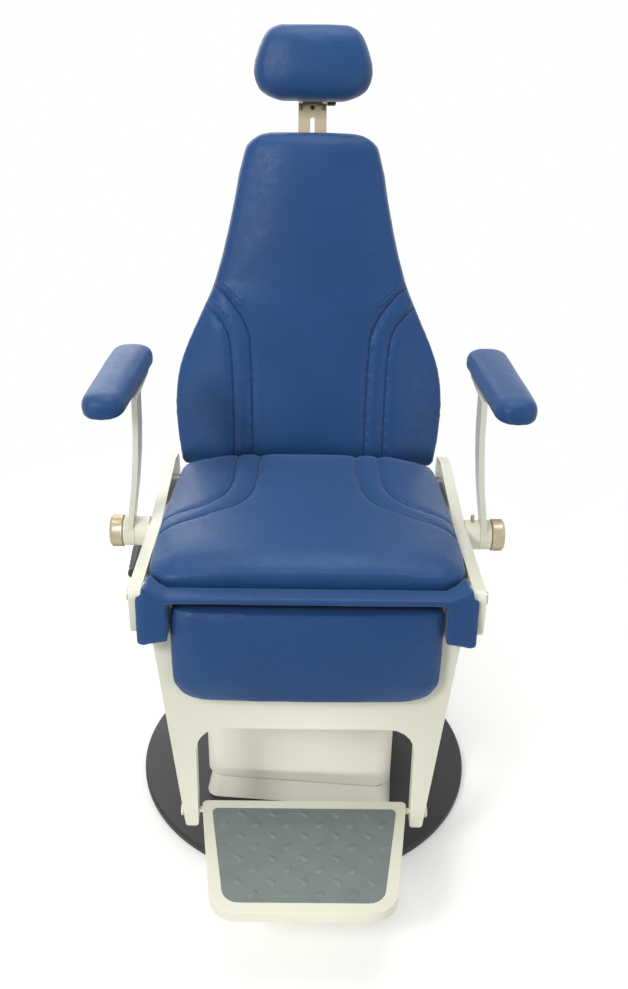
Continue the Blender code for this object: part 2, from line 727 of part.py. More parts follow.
def build_base():
    root = axis("base_axis", (0, 0, 0))
    mesh = rod_mesh("Z", MAT_RADIUS, (0.0, 0.0, 0.0), MAT_HEIGHT, 48)
    add("base_mat", mesh, BLACK_RUBBER, root)
    rim = [
        (BASE_RADIUS - BASE_ROUNDING * (1 - math.sin(a)), BASE_TOP - BASE_ROUNDING * (1 - math.cos(a)))
        for a in (0.0, math.pi / 6, math.pi / 3, math.pi / 2)
    ]
    turned(
        "base_plate",
        [(0.0, BASE_TOP)] + rim + [(BASE_RADIUS, BASE_BOTTOM), (0.0, BASE_BOTTOM)],
        BLACK_PAINT,
        root,
        steps=48,
    )
    column = axis("column_axis", (0, 0, 0), root, yaw=COLUMN_YAW)
    inside_x = LOWER_COVER_HALF_X - COVER_WALL
    inside_y = LOWER_COVER_HALF_Y - COVER_WALL
    inside_corner = LOWER_COVER_CORNER - COVER_WALL
    opening = rectangle(inside_x, inside_y, inside_corner)
    top_ring = skirt_ring(PLINTH_LIP, 0.0, PLINTH_TOP)
    plinth = loft(
        "base_plinth", [skirt_ring(PLINTH_LIP, PLINTH_FLARE, PLINTH_BOTTOM), top_ring], COVER_ABS, column
    )
    hollow_ring = skirt_ring(PLINTH_LIP - PLINTH_WALL, PLINTH_FLARE, PLINTH_BOTTOM - GAP)
    opening_ring = [(x, y, PLINTH_TOP + GAP) for x, y in opening]
    combine(plinth, "DIFFERENCE", skin_mesh([hollow_ring, opening_ring], "hollow"))
    gland_y = LOWER_COVER_HALF_Y + PLINTH_LIP + GAP
    turned(
        "cable_gland",
        [
            (0.0, GLAND_LENGTH),
            (GLAND_RADIUS * 0.7, GLAND_LENGTH),
            (GLAND_RADIUS * 0.7, GLAND_LENGTH * 0.4),
            (GLAND_RADIUS, GLAND_LENGTH * 0.4),
            (GLAND_RADIUS, 0.0),
            (0.0, 0.0),
        ],
        BLACK_PLASTIC,
        column,
        "Y",
        (0.0, gland_y, (PLINTH_BOTTOM + PLINTH_TOP) / 2),
        16,
    )
    cover = rectangle(LOWER_COVER_HALF_X, LOWER_COVER_HALF_Y, LOWER_COVER_CORNER)
    cover_bottom = PLINTH_TOP + GAP
    mesh = plate_mesh("XY", [cover, opening], cover_bottom, LOWER_COVER_TOP)
    add("lower_cover", mesh, COVER_ABS, column)
    floor = BASE_TOP + GAP
    tube = [circle(GUIDE_RADIUS), circle(GUIDE_RADIUS - GUIDE_WALL)]
    mesh = plate_mesh("XY", tube, floor, floor + GUIDE_HEIGHT)
    add("guide_tube", mesh, STEEL, column)
    top = floor + LIFT_CYLINDER_HEIGHT
    bore = LIFT_ROD_RADIUS + PLAY
    turned(
        "lift_cylinder",
        [
            (0.0, floor + LIFT_CYLINDER_FLOOR),
            (bore, floor + LIFT_CYLINDER_FLOOR),
            (bore, top),
            (LIFT_CYLINDER_RADIUS, top),
            (LIFT_CYLINDER_RADIUS, floor),
            (0.0, floor),
        ],
        STEEL,
        column,
        steps=24,
    )
    motor_top = floor + GEARBOX_HEIGHT + MOTOR_HEIGHT
    turned(
        "lift_motor",
        [
            (0.0, motor_top),
            (MOTOR_RADIUS, motor_top),
            (MOTOR_RADIUS, floor + GEARBOX_HEIGHT),
            (GEARBOX_RADIUS, floor + GEARBOX_HEIGHT),
            (GEARBOX_RADIUS, floor),
            (0.0, floor),
        ],
        BLACK_PAINT,
        column,
        "Z",
        (MOTOR_X, 0.0, 0.0),
        24,
    )
    return column


def build_lift(column):
    lift = axis("lift_axis", (0, 0, 0), column)
    inner_x = LOWER_COVER_HALF_X + COVER_SLIDE_GAP
    inner_y = LOWER_COVER_HALF_Y + COVER_SLIDE_GAP
    inner_corner = LOWER_COVER_CORNER + COVER_SLIDE_GAP
    outer = rectangle(UPPER_COVER_HALF_X, UPPER_COVER_HALF_Y, UPPER_COVER_CORNER)
    inner = rectangle(inner_x, inner_y, inner_corner)
    mesh = plate_mesh("XY", [outer, inner], UPPER_COVER_BOTTOM, HEAD_PLATE_TOP)
    add("upper_cover", mesh, COVER_ABS, lift)
    plate = rectangle(inner_x - GAP, inner_y - GAP, inner_corner - GAP)
    hole = circle(SPINDLE_RADIUS + PLAY, 32)
    mesh = plate_mesh("XY", [plate, hole], HEAD_PLATE_BOTTOM, HEAD_PLATE_TOP)
    add("head_plate", mesh, STEEL, lift)
    tube_radius = GUIDE_RADIUS - GUIDE_WALL - PLAY
    tube = [circle(tube_radius), circle(tube_radius - SLIDE_TUBE_WALL)]
    tube_top = HEAD_PLATE_BOTTOM - GAP
    mesh = plate_mesh("XY", tube, BASE_TOP + SLIDE_TUBE_FLOOR_GAP, tube_top)
    add("sliding_tube", mesh, STEEL, lift)
    flange = tube_radius - SLIDE_TUBE_WALL - PLAY
    rod_bottom = BASE_TOP + GAP + LIFT_CYLINDER_FLOOR + LIFT_ROD_FLOOR_GAP
    turned(
        "lift_rod",
        [
            (0.0, tube_top),
            (flange, tube_top),
            (flange, tube_top - LIFT_FLANGE_THICKNESS),
            (LIFT_ROD_RADIUS, tube_top - LIFT_FLANGE_THICKNESS),
            (LIFT_ROD_RADIUS, rod_bottom),
            (0.0, rod_bottom),
        ],
        STEEL,
        lift,
        steps=24,
    )
    ring = [circle(RACE_RADIUS), circle(RACE_BORE)]
    mesh = plate_mesh("XY", ring, HEAD_PLATE_TOP + GAP, LOWER_RACE_TOP)
    add("swivel_race_lower", mesh, STEEL, lift)


def build_chassis(seat):
    race_bottom = LOWER_RACE_TOP + GAP
    turned(
        "swivel_race_upper",
        [
            (0.0, UPPER_RACE_TOP),
            (RACE_RADIUS, UPPER_RACE_TOP),
            (RACE_RADIUS, race_bottom),
            (SPINDLE_RADIUS, race_bottom),
            (SPINDLE_RADIUS, HEAD_PLATE_BOTTOM + GAP),
            (0.0, HEAD_PLATE_BOTTOM + GAP),
        ],
        STEEL,
        seat,
        steps=36,
    )
    mesh = box_mesh(
        (-CHASSIS_HALF_X, -CHASSIS_HALF_Y, CHASSIS_BOTTOM), (CHASSIS_HALF_X, CHASSIS_HALF_Y, CHASSIS_TOP)
    )
    frame = add("seat_chassis", mesh, BLACK_PAINT, seat, smooth=False)
    for side in (-1, 1):
        web_low = (-WEB_HALF_X, side * RAIL_Y - WEB_THICKNESS / 2, CHASSIS_TOP - CHASSIS_PLATE / 2)
        web_high = (WEB_HALF_X, side * RAIL_Y + WEB_THICKNESS / 2, RAIL_BOTTOM + RAIL_HEIGHT / 2)
        combine(frame, "UNION", box_mesh(web_low, web_high))
        rail_end = SIDE_INNER_X - GAP
        rail_low = (-rail_end, side * RAIL_Y - RAIL_WIDTH / 2, RAIL_BOTTOM)
        rail_high = (rail_end, side * RAIL_Y + RAIL_WIDTH / 2, RAIL_TOP)
        combine(frame, "UNION", box_mesh(rail_low, rail_high))
    saddle_low = (ACTUATOR_X - ACTUATOR_RADIUS / 2, -ACTUATOR_RADIUS, CHASSIS_TOP - CHASSIS_PLATE / 2)
    saddle_high = (ACTUATOR_X + ACTUATOR_RADIUS / 2, ACTUATOR_RADIUS, ACTUATOR_Z - ACTUATOR_RADIUS - GAP)
    combine(frame, "UNION", box_mesh(saddle_low, saddle_high))
    bush_low = (
        LEVER_BUSH_X - LEVER_BUSH_LENGTH / 2, LEVER_Y - LEVER_BUSH_HALF, CHASSIS_TOP - CHASSIS_PLATE / 2
    )
    bush_high = (
        LEVER_BUSH_X + LEVER_BUSH_LENGTH / 2, LEVER_Y + LEVER_BUSH_HALF, LEVER_Z + LEVER_BUSH_HALF
    )
    combine(frame, "UNION", box_mesh(bush_low, bush_high))
    bore_start = (LEVER_BUSH_X - LEVER_BUSH_LENGTH, LEVER_Y, LEVER_Z)
    bore_end = LEVER_BUSH_X + LEVER_BUSH_LENGTH
    combine(frame, "DIFFERENCE", rod_mesh("X", LEVER_RADIUS + PLAY, bore_start, bore_end, 16))
    board = rounded(
        [
            (SEAT_BOARD_HALF_X, SEAT_BOARD_FRONT, SEAT_BOARD_CORNER),
            (SEAT_BOARD_HALF_X, SEAT_BOARD_REAR, SEAT_BOARD_CORNER),
            (-SEAT_BOARD_HALF_X, SEAT_BOARD_REAR, SEAT_BOARD_CORNER),
            (-SEAT_BOARD_HALF_X, SEAT_BOARD_FRONT, SEAT_BOARD_CORNER),
        ]
    )
    mesh = plate_mesh("XY", [board], SEAT_BOARD_BOTTOM, SEAT_BOARD_TOP)
    add("seat_board", mesh, BIRCH_PLY, seat)


def build_side_frames(seat):
    rear = RECLINE_Y + EAR_REAR_REACH
    outline = rounded(
        [
            (LEG_HINGE_Y - NOSE_RADIUS, NOSE_BOTTOM, NOSE_LOWER_RADIUS),
            (SIDE_BOTTOM_FRONT, SIDE_BOTTOM, SIDE_BOTTOM_RADIUS),
            (SIDE_BOTTOM_REAR, SIDE_BOTTOM, SIDE_BOTTOM_RADIUS),
            (rear, RECLINE_Z - EAR_REAR_REACH, EAR_RADIUS),
            (rear, EAR_TOP - EAR_SLOPE, EAR_RADIUS),
            (EAR_FRONT, EAR_TOP, EAR_RADIUS),
            (HUB_Y, SIDE_DIP_Z, SIDE_DIP_RADIUS),
            (LEG_HINGE_Y - NOSE_RADIUS, LEG_HINGE_Z + NOSE_RADIUS, NOSE_RADIUS),
        ],
        4,
    )
    for name, side in (("left", -1), ("right", 1)):
        low, high = sorted((side * SIDE_INNER_X, side * SIDE_OUTER_X))
        plate = add(f"side_frame_{name}", plate_mesh("YZ", [outline], low, high), CREAM_PAINT, seat)
        round_edges(plate, SIDE_ROUNDING, 1)
        bore_start = side * (SIDE_INNER_X - SIDE_THICKNESS)
        bore_end = side * (SIDE_OUTER_X + SIDE_THICKNESS)
        shaft_bore = rod_mesh(
            "X", SHAFT_RADIUS + PLAY, (bore_start, RECLINE_Y, RECLINE_Z), bore_end
        )
        combine(plate, "DIFFERENCE", shaft_bore)
        pin_bore = rod_mesh(
            "X", LEG_PIN_RADIUS + GAP, (bore_start, LEG_HINGE_Y, LEG_HINGE_Z), bore_end, 16
        )
        combine(plate, "DIFFERENCE", pin_bore)
        cap_start = SIDE_OUTER_X + GAP
        pin_end = LEG_EAR_INNER_X + GAP
        turned(
            f"legrest_pin_{name}",
            [
                (0.0, cap_start + LEG_PIN_CAP),
                (LEG_PIN_CAP_RADIUS, cap_start + LEG_PIN_CAP),
                (LEG_PIN_CAP_RADIUS, cap_start),
                (LEG_PIN_RADIUS, cap_start),
                (LEG_PIN_RADIUS, pin_end),
                (0.0, pin_end),
            ],
            NICKEL,
            seat,
            "X",
            (0.0, LEG_HINGE_Y, LEG_HINGE_Z),
            16,
        ).scale.z = side
        turned(
            f"arm_hub_{name}",
            [
                (0.0, ARM_KNOB_END_X - ARM_KNOB_CAP),
                (AXLE_RADIUS, ARM_KNOB_END_X - ARM_KNOB_CAP),
                (AXLE_RADIUS, HUB_END_X),
                (HUB_RADIUS, HUB_END_X),
                (HUB_RADIUS, HUB_START_X),
                (0.0, HUB_START_X),
            ],
            CREAM_PAINT,
            seat,
            "X",
            (0.0, HUB_Y, HUB_Z),
            32,
        ).scale.z = side
    pin_bottom = HUB_Z + HUB_RADIUS + GAP
    pin_x = (HUB_START_X + HUB_END_X) / 2
    mesh = rod_mesh("Z", STOP_PIN_RADIUS, (pin_x, HUB_Y, pin_bottom), pin_bottom + STOP_PIN_LENGTH, 12)
    add("arm_stop_pin", mesh, NICKEL, seat)


def build_actuator(seat):
    mesh = rod_mesh(
        "Y", ACTUATOR_RADIUS, (ACTUATOR_X, ACTUATOR_FRONT, ACTUATOR_Z), ACTUATOR_REAR
    )
    body = add("recline_actuator", mesh, BLACK_PAINT, seat)
    block_low = (
        ACTUATOR_MOTOR_X - ACTUATOR_MOTOR_RADIUS,
        ACTUATOR_FRONT - ACTUATOR_RADIUS,
        ACTUATOR_Z - ACTUATOR_MOTOR_RADIUS,
    )
    block_high = (
        ACTUATOR_X + ACTUATOR_RADIUS,
        ACTUATOR_FRONT + ACTUATOR_RADIUS / 2,
        ACTUATOR_Z + ACTUATOR_MOTOR_RADIUS,
    )
    combine(body, "UNION", box_mesh(block_low, block_high))
    motor_start = (ACTUATOR_MOTOR_X, ACTUATOR_FRONT, ACTUATOR_Z)
    motor_radius = ACTUATOR_MOTOR_RADIUS * 0.95
    combine(body, "UNION", rod_mesh("Y", motor_radius, motor_start, ACTUATOR_REAR / 2))
    bore_start = (ACTUATOR_X, ACTUATOR_BORE_FRONT, ACTUATOR_Z)
    bore = rod_mesh("Y", ACTUATOR_ROD_RADIUS + PLAY, bore_start, ACTUATOR_REAR + ACTUATOR_RADIUS)
    combine(body, "DIFFERENCE", bore)
    rod_axis = axis("actuator_rod_axis", (0, 0, 0), seat)
    pin_y = RECLINE_Y + CRANK_REST_Y
    slot_half_y = CRANK_PIN_RADIUS + YOKE_SLACK
    slot_half_z = (CRANK_RADIUS + CRANK_REST_Z) / 2 + CRANK_PIN_RADIUS + YOKE_SLACK
    yoke_outer = rectangle(slot_half_y + YOKE_RIM, slot_half_z + YOKE_RIM, YOKE_RIM / 2)
    yoke_slot = rectangle(slot_half_y, slot_half_z, slot_half_y * 0.9, 4)
    shift = Matrix.Translation((0.0, pin_y, ACTUATOR_Z))
    mesh = plate_mesh(
        "YZ",
        [yoke_outer, yoke_slot],
        ACTUATOR_X - YOKE_THICKNESS / 2,
        ACTUATOR_X + YOKE_THICKNESS / 2,
    )
    mesh.transform(shift)
    rod = add("actuator_rod", mesh, STEEL, rod_axis)
    rod_end = pin_y - slot_half_y - YOKE_RIM / 2
    rod_start = (ACTUATOR_X, ACTUATOR_ROD_FRONT, ACTUATOR_Z)
    radius = min(ACTUATOR_ROD_RADIUS, YOKE_THICKNESS / 2 - GAP)
    combine(rod, "UNION", rod_mesh("Y", radius, rod_start, rod_end))


def crank_mesh(low_x, high_x, boss):
    """A crank plate from a shaft boss at the origin to the crank pin's eye, at rest."""
    down = math.atan2(CRANK_REST_Z, CRANK_REST_Y)
    lean = math.asin((boss - CRANK_TIP) / CRANK_RADIUS)
    outline = []
    steps = 10
    for step in range(steps + 1):
        angle = down + math.pi / 2 + lean + (math.pi - 2 * lean) * step / steps
        outline.append((boss * math.cos(angle), boss * math.sin(angle)))
    for step in range(steps + 1):
        angle = down - math.pi / 2 - lean + (math.pi + 2 * lean) * step / steps
        outline.append(
            (CRANK_REST_Y + CRANK_TIP * math.cos(angle), CRANK_REST_Z + CRANK_TIP * math.sin(angle))
        )
    return plate_mesh("YZ", [outline], low_x, high_x)


def level_frame(tilt):
    """Turns a shape drawn in level axes into the axes of a tilted parent."""
    return Matrix.Rotation(-tilt, 4, "X")


def build_recline(back):
    shaft_end = SIDE_OUTER_X - GAP
    mesh = rod_mesh("X", SHAFT_RADIUS, (-shaft_end, 0.0, 0.0), shaft_end)
    add("recline_shaft", mesh, STEEL, back)
    shaft_bore = rod_mesh("X", SHAFT_RADIUS + GAP, (-SIDE_OUTER_X, 0.0, 0.0), SIDE_OUTER_X)
    level = level_frame(-BACK_TILT)
    cranks = (
        ("link_crank", LINK_CRANK_X, LINK_X - LINK_THICKNESS / 2, LINK_CRANK_X + CRANK_THICKNESS / 2),
        (
            "actuator_crank",
            ACTUATOR_CRANK_X,
            ACTUATOR_CRANK_X + CRANK_THICKNESS / 2,
            ACTUATOR_X + YOKE_THICKNESS / 2,
        ),
    )
    for name, plate_x, pin_low, pin_high in cranks:
        mesh = crank_mesh(plate_x, plate_x + CRANK_THICKNESS, CRANK_BOSS)
        mesh.transform(level)
        crank = add(name, mesh, STEEL, back)
        pin = rod_mesh("X", CRANK_PIN_RADIUS, (pin_low, CRANK_REST_Y, CRANK_REST_Z), pin_high, 16)
        pin.transform(level)
        combine(crank, "UNION", pin)
        combine(crank, "DIFFERENCE", shaft_bore.copy())
    rear = BACK_FITTING + BACK_ARM_DEPTH
    boss = BACK_ARM_BOSS
    outline = rounded(
        [
            (-boss, -boss, boss * 0.98),
            (rear, -boss, BACK_ARM_DEPTH * 0.9),
            (rear, BACK_ARM_TOP, BACK_ARM_DEPTH * 0.45),
            (BACK_FITTING, BACK_ARM_TOP, BACK_ARM_DEPTH * 0.3),
            (BACK_FITTING, boss, BACK_ARM_DEPTH * 0.3),
            (-boss, boss, boss * 0.98),
        ]
    )
    for name, side in (("left", -1), ("right", 1)):
        low, high = sorted((side * BACK_ARM_X, side * (BACK_ARM_X + BACK_ARM_THICKNESS)))
        arm = add(f"backrest_arm_{name}", plate_mesh("YZ", [outline], low, high), CREAM_PAINT, back)
        combine(arm, "DIFFERENCE", shaft_bore.copy())


def back_half(u):
    inset = corner_inset(BACK_TOP - u, BACK_TOP_CORNER)
    return through(BACK_OUTLINE, u) - inset


def build_backrest(back):
    corner = BACK_END_ROUNDING
    low_rows, high_rows = ends_of(BACK_BOTTOM, BACK_TOP, corner)
    bends = channel_rows(BACK_CHANNELS, 1)
    places = low_rows + between(low_rows[-1], bends[0], 4) + bends
    places += between(bends[-1], high_rows[0], 4) + high_rows
    rows = []
    for u in places:
        nearest = min(u - BACK_BOTTOM, BACK_TOP - u)
        plump = math.sqrt(max(1 - (1 - min(nearest / corner, 1.0)) ** 2, 0.0))
        face = BACK_EDGE + (BACK_FRONT - BACK_EDGE) * (0.25 + 0.75 * plump)
        channels = [channel_at(channel, u, 1) for channel in BACK_CHANNELS]
        half = back_half(u) - corner_inset(nearest, BACK_END_ROUNDING / 2) / 2
        section = pad_section(half, BACK_EDGE, face, BACK_REAR, channels, CHANNEL_DEPTH * plump)
        rows.append([(x, n, u) for x, n in section])
    loft("back_cushion", rows, BLUE_VINYL, back)

    inset = BACK_BOARD_INSET
    heights = between(BACK_BOTTOM, BACK_TOP, 12)
    right = [(back_half(u) - inset, u) for u in heights]
    outline = right + [(-x, u) for x, u in reversed(right)]
    mesh = plate_mesh("XZ", [outline], BACK_BOARD_FRONT, BACK_BOARD_REAR)
    add("backrest_board", mesh, BIRCH_PLY, back)

    corners = mirrored(
        [
            (REAR_COVER_HALF_X, REAR_COVER_BOTTOM, REAR_COVER_CORNER),
            (REAR_COVER_HALF_X, BACK_ARM_TOP, REAR_COVER_FLARE),
            (REAR_COVER_TOP_HALF_X, REAR_COVER_TOP, REAR_COVER_CORNER),
        ]
    )
    cover = add(
        "rear_cover",
        plate_mesh("XZ", [rounded(corners)], BACK_FITTING - REAR_COVER_DEPTH, REAR_COVER_REAR),
        CREAM_PAINT,
        back,
    )
    round_edges(cover, REAR_COVER_ROUNDING, 2, 60)
    front_low = (-BACK_ARM_X, BACK_FITTING - 2 * REAR_COVER_DEPTH, 0.0)
    front_high = (BACK_ARM_X, BACK_FITTING, BACK_TOP)
    combine(cover, "DIFFERENCE", box_mesh(front_low, front_high))
    for inset, depth in (
        (REAR_COVER_WALL, REAR_COVER_ROUNDING),
        (REAR_COVER_ROUNDING, REAR_COVER_WALL),
    ):
        hollow = mirrored(
            [
                (REAR_COVER_HALF_X - inset, REAR_COVER_BOTTOM + inset, REAR_COVER_CORNER - inset),
                (REAR_COVER_HALF_X - inset, BACK_ARM_TOP, REAR_COVER_FLARE),
                (REAR_COVER_TOP_HALF_X - inset, REAR_COVER_TOP - inset, REAR_COVER_CORNER - inset),
            ]
        )
        inside = plate_mesh(
            "XZ", [rounded(hollow)], BACK_FITTING - REAR_COVER_DEPTH, REAR_COVER_REAR - depth
        )
        combine(cover, "DIFFERENCE", inside)
    slot_low = (-STEM_HALF_X - PLAY, STEM_FRONT - PLAY, GUIDE_BLOCK_TOP)
    slot_high = (STEM_HALF_X + PLAY, STEM_REAR + PLAY, REAR_COVER_TOP + REAR_COVER_ROUNDING)
    combine(cover, "DIFFERENCE", box_mesh(slot_low, slot_high))
    shank = CLAMP_SHANK_RADIUS + PLAY
    shank_start = (0.0, STEM_REAR - GAP, CLAMP_U)
    shank_bore = rod_mesh("Y", shank, shank_start, REAR_COVER_REAR + REAR_COVER_DEPTH, 16)
    combine(cover, "DIFFERENCE", shank_bore)

    block_low = (-GUIDE_BLOCK_HALF_X, BACK_FITTING, GUIDE_BLOCK_BOTTOM)
    block_high = (GUIDE_BLOCK_HALF_X, GUIDE_BLOCK_REAR, GUIDE_BLOCK_TOP - GAP)
    block = add("headrest_guide", box_mesh(block_low, block_high), STEEL, back, smooth=False)
    way_low = (-STEM_HALF_X - GAP, STEM_FRONT - GAP, GUIDE_BLOCK_BOTTOM - GUIDE_BLOCK_WALL)
    way_high = (STEM_HALF_X + GAP, STEM_REAR + GAP, GUIDE_BLOCK_TOP + GUIDE_BLOCK_WALL)
    combine(block, "DIFFERENCE", box_mesh(way_low, way_high))
    combine(block, "DIFFERENCE", shank_bore.copy())
    clamp_axis = axis("clamp_knob_axis", (0.0, 0.0, CLAMP_U), back)
    knob_front = REAR_COVER_REAR + GAP
    knob_rear = knob_front + CLAMP_KNOB_DEPTH
    turned(
        "headrest_clamp_knob",
        [
            (0.0, knob_rear),
            (CLAMP_KNOB_RADIUS * 0.75, knob_rear),
            (CLAMP_KNOB_RADIUS, knob_rear - CLAMP_KNOB_DEPTH * 0.3),
            (CLAMP_KNOB_RADIUS, knob_front + CLAMP_KNOB_DEPTH * 0.3),
            (CLAMP_KNOB_RADIUS * 0.5, knob_front),
            (CLAMP_SHANK_RADIUS, knob_front),
            (CLAMP_SHANK_RADIUS, STEM_REAR + GAP),
            (0.0, STEM_REAR + GAP),
        ],
        BLACK_PLASTIC,
        clamp_axis,
        "Y",
        steps=20,
    )


def build_headrest(back):
    slide = axis("headrest_slide_axis", (0, 0, 0), back)
    outline = rounded(
        [
            (STEM_HALF_X, STEM_BOTTOM, STEM_CORNER),
            (STEM_HALF_X, STEM_TOP, STEM_CORNER),
            (-STEM_HALF_X, STEM_TOP, STEM_CORNER),
            (-STEM_HALF_X, STEM_BOTTOM, STEM_CORNER),
        ],
        3,
    )
    slot_middle = (STEM_SLOT_BOTTOM + STEM_SLOT_TOP) / 2
    slot = rectangle(
        STEM_SLOT_HALF, (STEM_SLOT_TOP - STEM_SLOT_BOTTOM) / 2, STEM_SLOT_HALF * 0.98, 4
    )
    slot = [(x, u + slot_middle) for x, u in slot]
    mesh = plate_mesh("XZ", [outline, slot], STEM_FRONT, STEM_REAR)
    stem = add("headrest_stem", mesh, NICKEL, slide)
    reach = HEAD_LUG_RADIUS
    lug = rounded(
        [
            (HEAD_HINGE_DEPTH - reach, HEAD_HINGE_U - reach, reach * 0.98),
            (STEM_REAR - GAP, HEAD_HINGE_U - reach * 1.6, 0.0),
            (STEM_REAR - GAP, HEAD_HINGE_U + reach * 0.5, 0.0),
            (HEAD_HINGE_DEPTH, HEAD_HINGE_U + reach, reach * 0.3),
            (HEAD_HINGE_DEPTH - reach, HEAD_HINGE_U + reach, reach * 0.95),
        ]
    )
    lug_inner = STEM_HALF_X - HEAD_LUG_THICKNESS
    for side in (-1, 1):
        low, high = sorted((side * lug_inner, side * (STEM_HALF_X - GAP)))
        combine(stem, "UNION", plate_mesh("YZ", [lug], low, high))
    pin_start = (-STEM_HALF_X - GAP, HEAD_HINGE_DEPTH, HEAD_HINGE_U)
    pin_bore = rod_mesh(
        "X", HEAD_PIN_RADIUS + GAP, pin_start, STEM_HALF_X + HEAD_LUG_THICKNESS, 20
    )
    combine(stem, "DIFFERENCE", pin_bore)

    tilt = axis("headrest_tilt_axis", (0.0, HEAD_HINGE_DEPTH, HEAD_HINGE_U), slide)
    barrel_end = lug_inner - GAP
    mesh = rod_mesh("X", HEAD_LUG_RADIUS * 0.9, (-barrel_end, 0.0, 0.0), barrel_end)
    bracket = add("headrest_bracket", mesh, STEEL, tilt)
    plate_front = HEAD_PAD_REAR + GAP - HEAD_HINGE_DEPTH
    plate_rear = plate_front + HEAD_PLATE_STEEL
    plate_u = (HEAD_PAD_BOTTOM + HEAD_PAD_TOP) / 2 - HEAD_HINGE_U
    web_low = (-barrel_end * 0.8, plate_front + HEAD_PLATE_STEEL / 2, -HEAD_LUG_RADIUS * 0.4)
    web_high = (barrel_end * 0.8, HEAD_LUG_RADIUS * 0.3, HEAD_LUG_RADIUS * 1.5)
    combine(bracket, "UNION", box_mesh(web_low, web_high))
    backing_low = (-HEAD_PLATE_HALF_X, plate_front, plate_u - HEAD_PLATE_HALF_U - HEAD_LUG_RADIUS)
    backing_high = (HEAD_PLATE_HALF_X, plate_rear, plate_u + HEAD_PLATE_HALF_U)
    combine(bracket, "UNION", box_mesh(backing_low, backing_high))
    barrel_bore = rod_mesh(
        "X", HEAD_PIN_RADIUS + PLAY, (-STEM_HALF_X, 0.0, 0.0), STEM_HALF_X, 20
    )
    combine(bracket, "DIFFERENCE", barrel_bore)

    corner = HEAD_PAD_ROUNDING
    low_rows, high_rows = ends_of(HEAD_PAD_BOTTOM, HEAD_PAD_TOP, corner)
    rows = []
    for u in low_rows + between(low_rows[-1], high_rows[0], 3) + high_rows:
        nearest = min(u - HEAD_PAD_BOTTOM, HEAD_PAD_TOP - u)
        plump = math.sqrt(max(1 - (1 - min(nearest / corner, 1.0)) ** 2, 0.0))
        face = HEAD_PAD_EDGE + (HEAD_PAD_FRONT - HEAD_PAD_EDGE) * (0.2 + 0.8 * plump)
        section = pad_section(through(HEAD_OUTLINE, u), HEAD_PAD_EDGE, face, HEAD_PAD_REAR)
        rows.append([(x, n - HEAD_HINGE_DEPTH, u - HEAD_HINGE_U) for x, n in section])
    loft("head_pad", rows, BLUE_VINYL, tilt)

    knob_axis = axis("headrest_knob_axis", (0.0, HEAD_HINGE_DEPTH, HEAD_HINGE_U), slide)
    knob_start = STEM_HALF_X + GAP
    knob_end = knob_start + HEAD_KNOB_LENGTH
    turned(
        "headrest_lock_knob",
        [
            (0.0, knob_end),
            (HEAD_KNOB_RADIUS * 0.8, knob_end),
            (HEAD_KNOB_RADIUS, knob_end - HEAD_KNOB_LENGTH * 0.2),
            (HEAD_KNOB_RADIUS, knob_start),
            (HEAD_PIN_RADIUS, knob_start),
            (HEAD_PIN_RADIUS, -STEM_HALF_X),
            (0.0, -STEM_HALF_X),
        ],
        BLACK_PLASTIC,
        knob_axis,
        "X",
        steps=20,
    )


def seat_half(y):
    share = max((y - SEAT_FRONT) / (SEAT_REAR - SEAT_FRONT), 0.0)
    side = SEAT_HALF_X + (SEAT_REAR_HALF_X - SEAT_HALF_X) * share**3
    front = corner_inset(y - SEAT_FRONT, SEAT_FRONT_CORNER)
    rear = corner_inset(SEAT_REAR - y, SEAT_REAR_CORNER)
    return side - front - rear


def seat_corner(x):
    """Where the seat's round front corner lies, front to rear, at a distance from the middle."""
    beyond = x - (SEAT_HALF_X - SEAT_FRONT_CORNER)
    return SEAT_FRONT + SEAT_FRONT_CORNER - math.sqrt(SEAT_FRONT_CORNER**2 - beyond**2)


def build_seat_cushion(seat):
    corner = SEAT_END_ROUNDING
    front_rows, rear_rows = ends_of(SEAT_FRONT, SEAT_REAR, corner)
    bends = channel_rows(SEAT_CHANNELS, -1)[:-1]
    places = front_rows + between(front_rows[-1], bends[0], 2) + bends
    places += between(bends[-1], rear_rows[0], 2) + rear_rows
    rows = []
    for y in places:
        nearest = min(y - SEAT_FRONT, SEAT_REAR - y)
        plump = math.sqrt(max(1 - (1 - min(nearest / corner, 1.0)) ** 2, 0.0))
        face = SEAT_EDGE + (SEAT_TOP - SEAT_EDGE) * (0.15 + 0.85 * plump)
        bottom = SEAT_BOTTOM + corner_inset(y - SEAT_FRONT, SEAT_EDGE_HEIGHT) * 0.15
        channels = [channel_at(channel, y, -1) for channel in SEAT_CHANNELS]
        section = pad_section(seat_half(y), SEAT_EDGE, face, bottom, channels, CHANNEL_DEPTH * plump)
        rows.append([(x, y, z) for x, z in section])
    loft("seat_cushion", rows, BLUE_VINYL, seat)


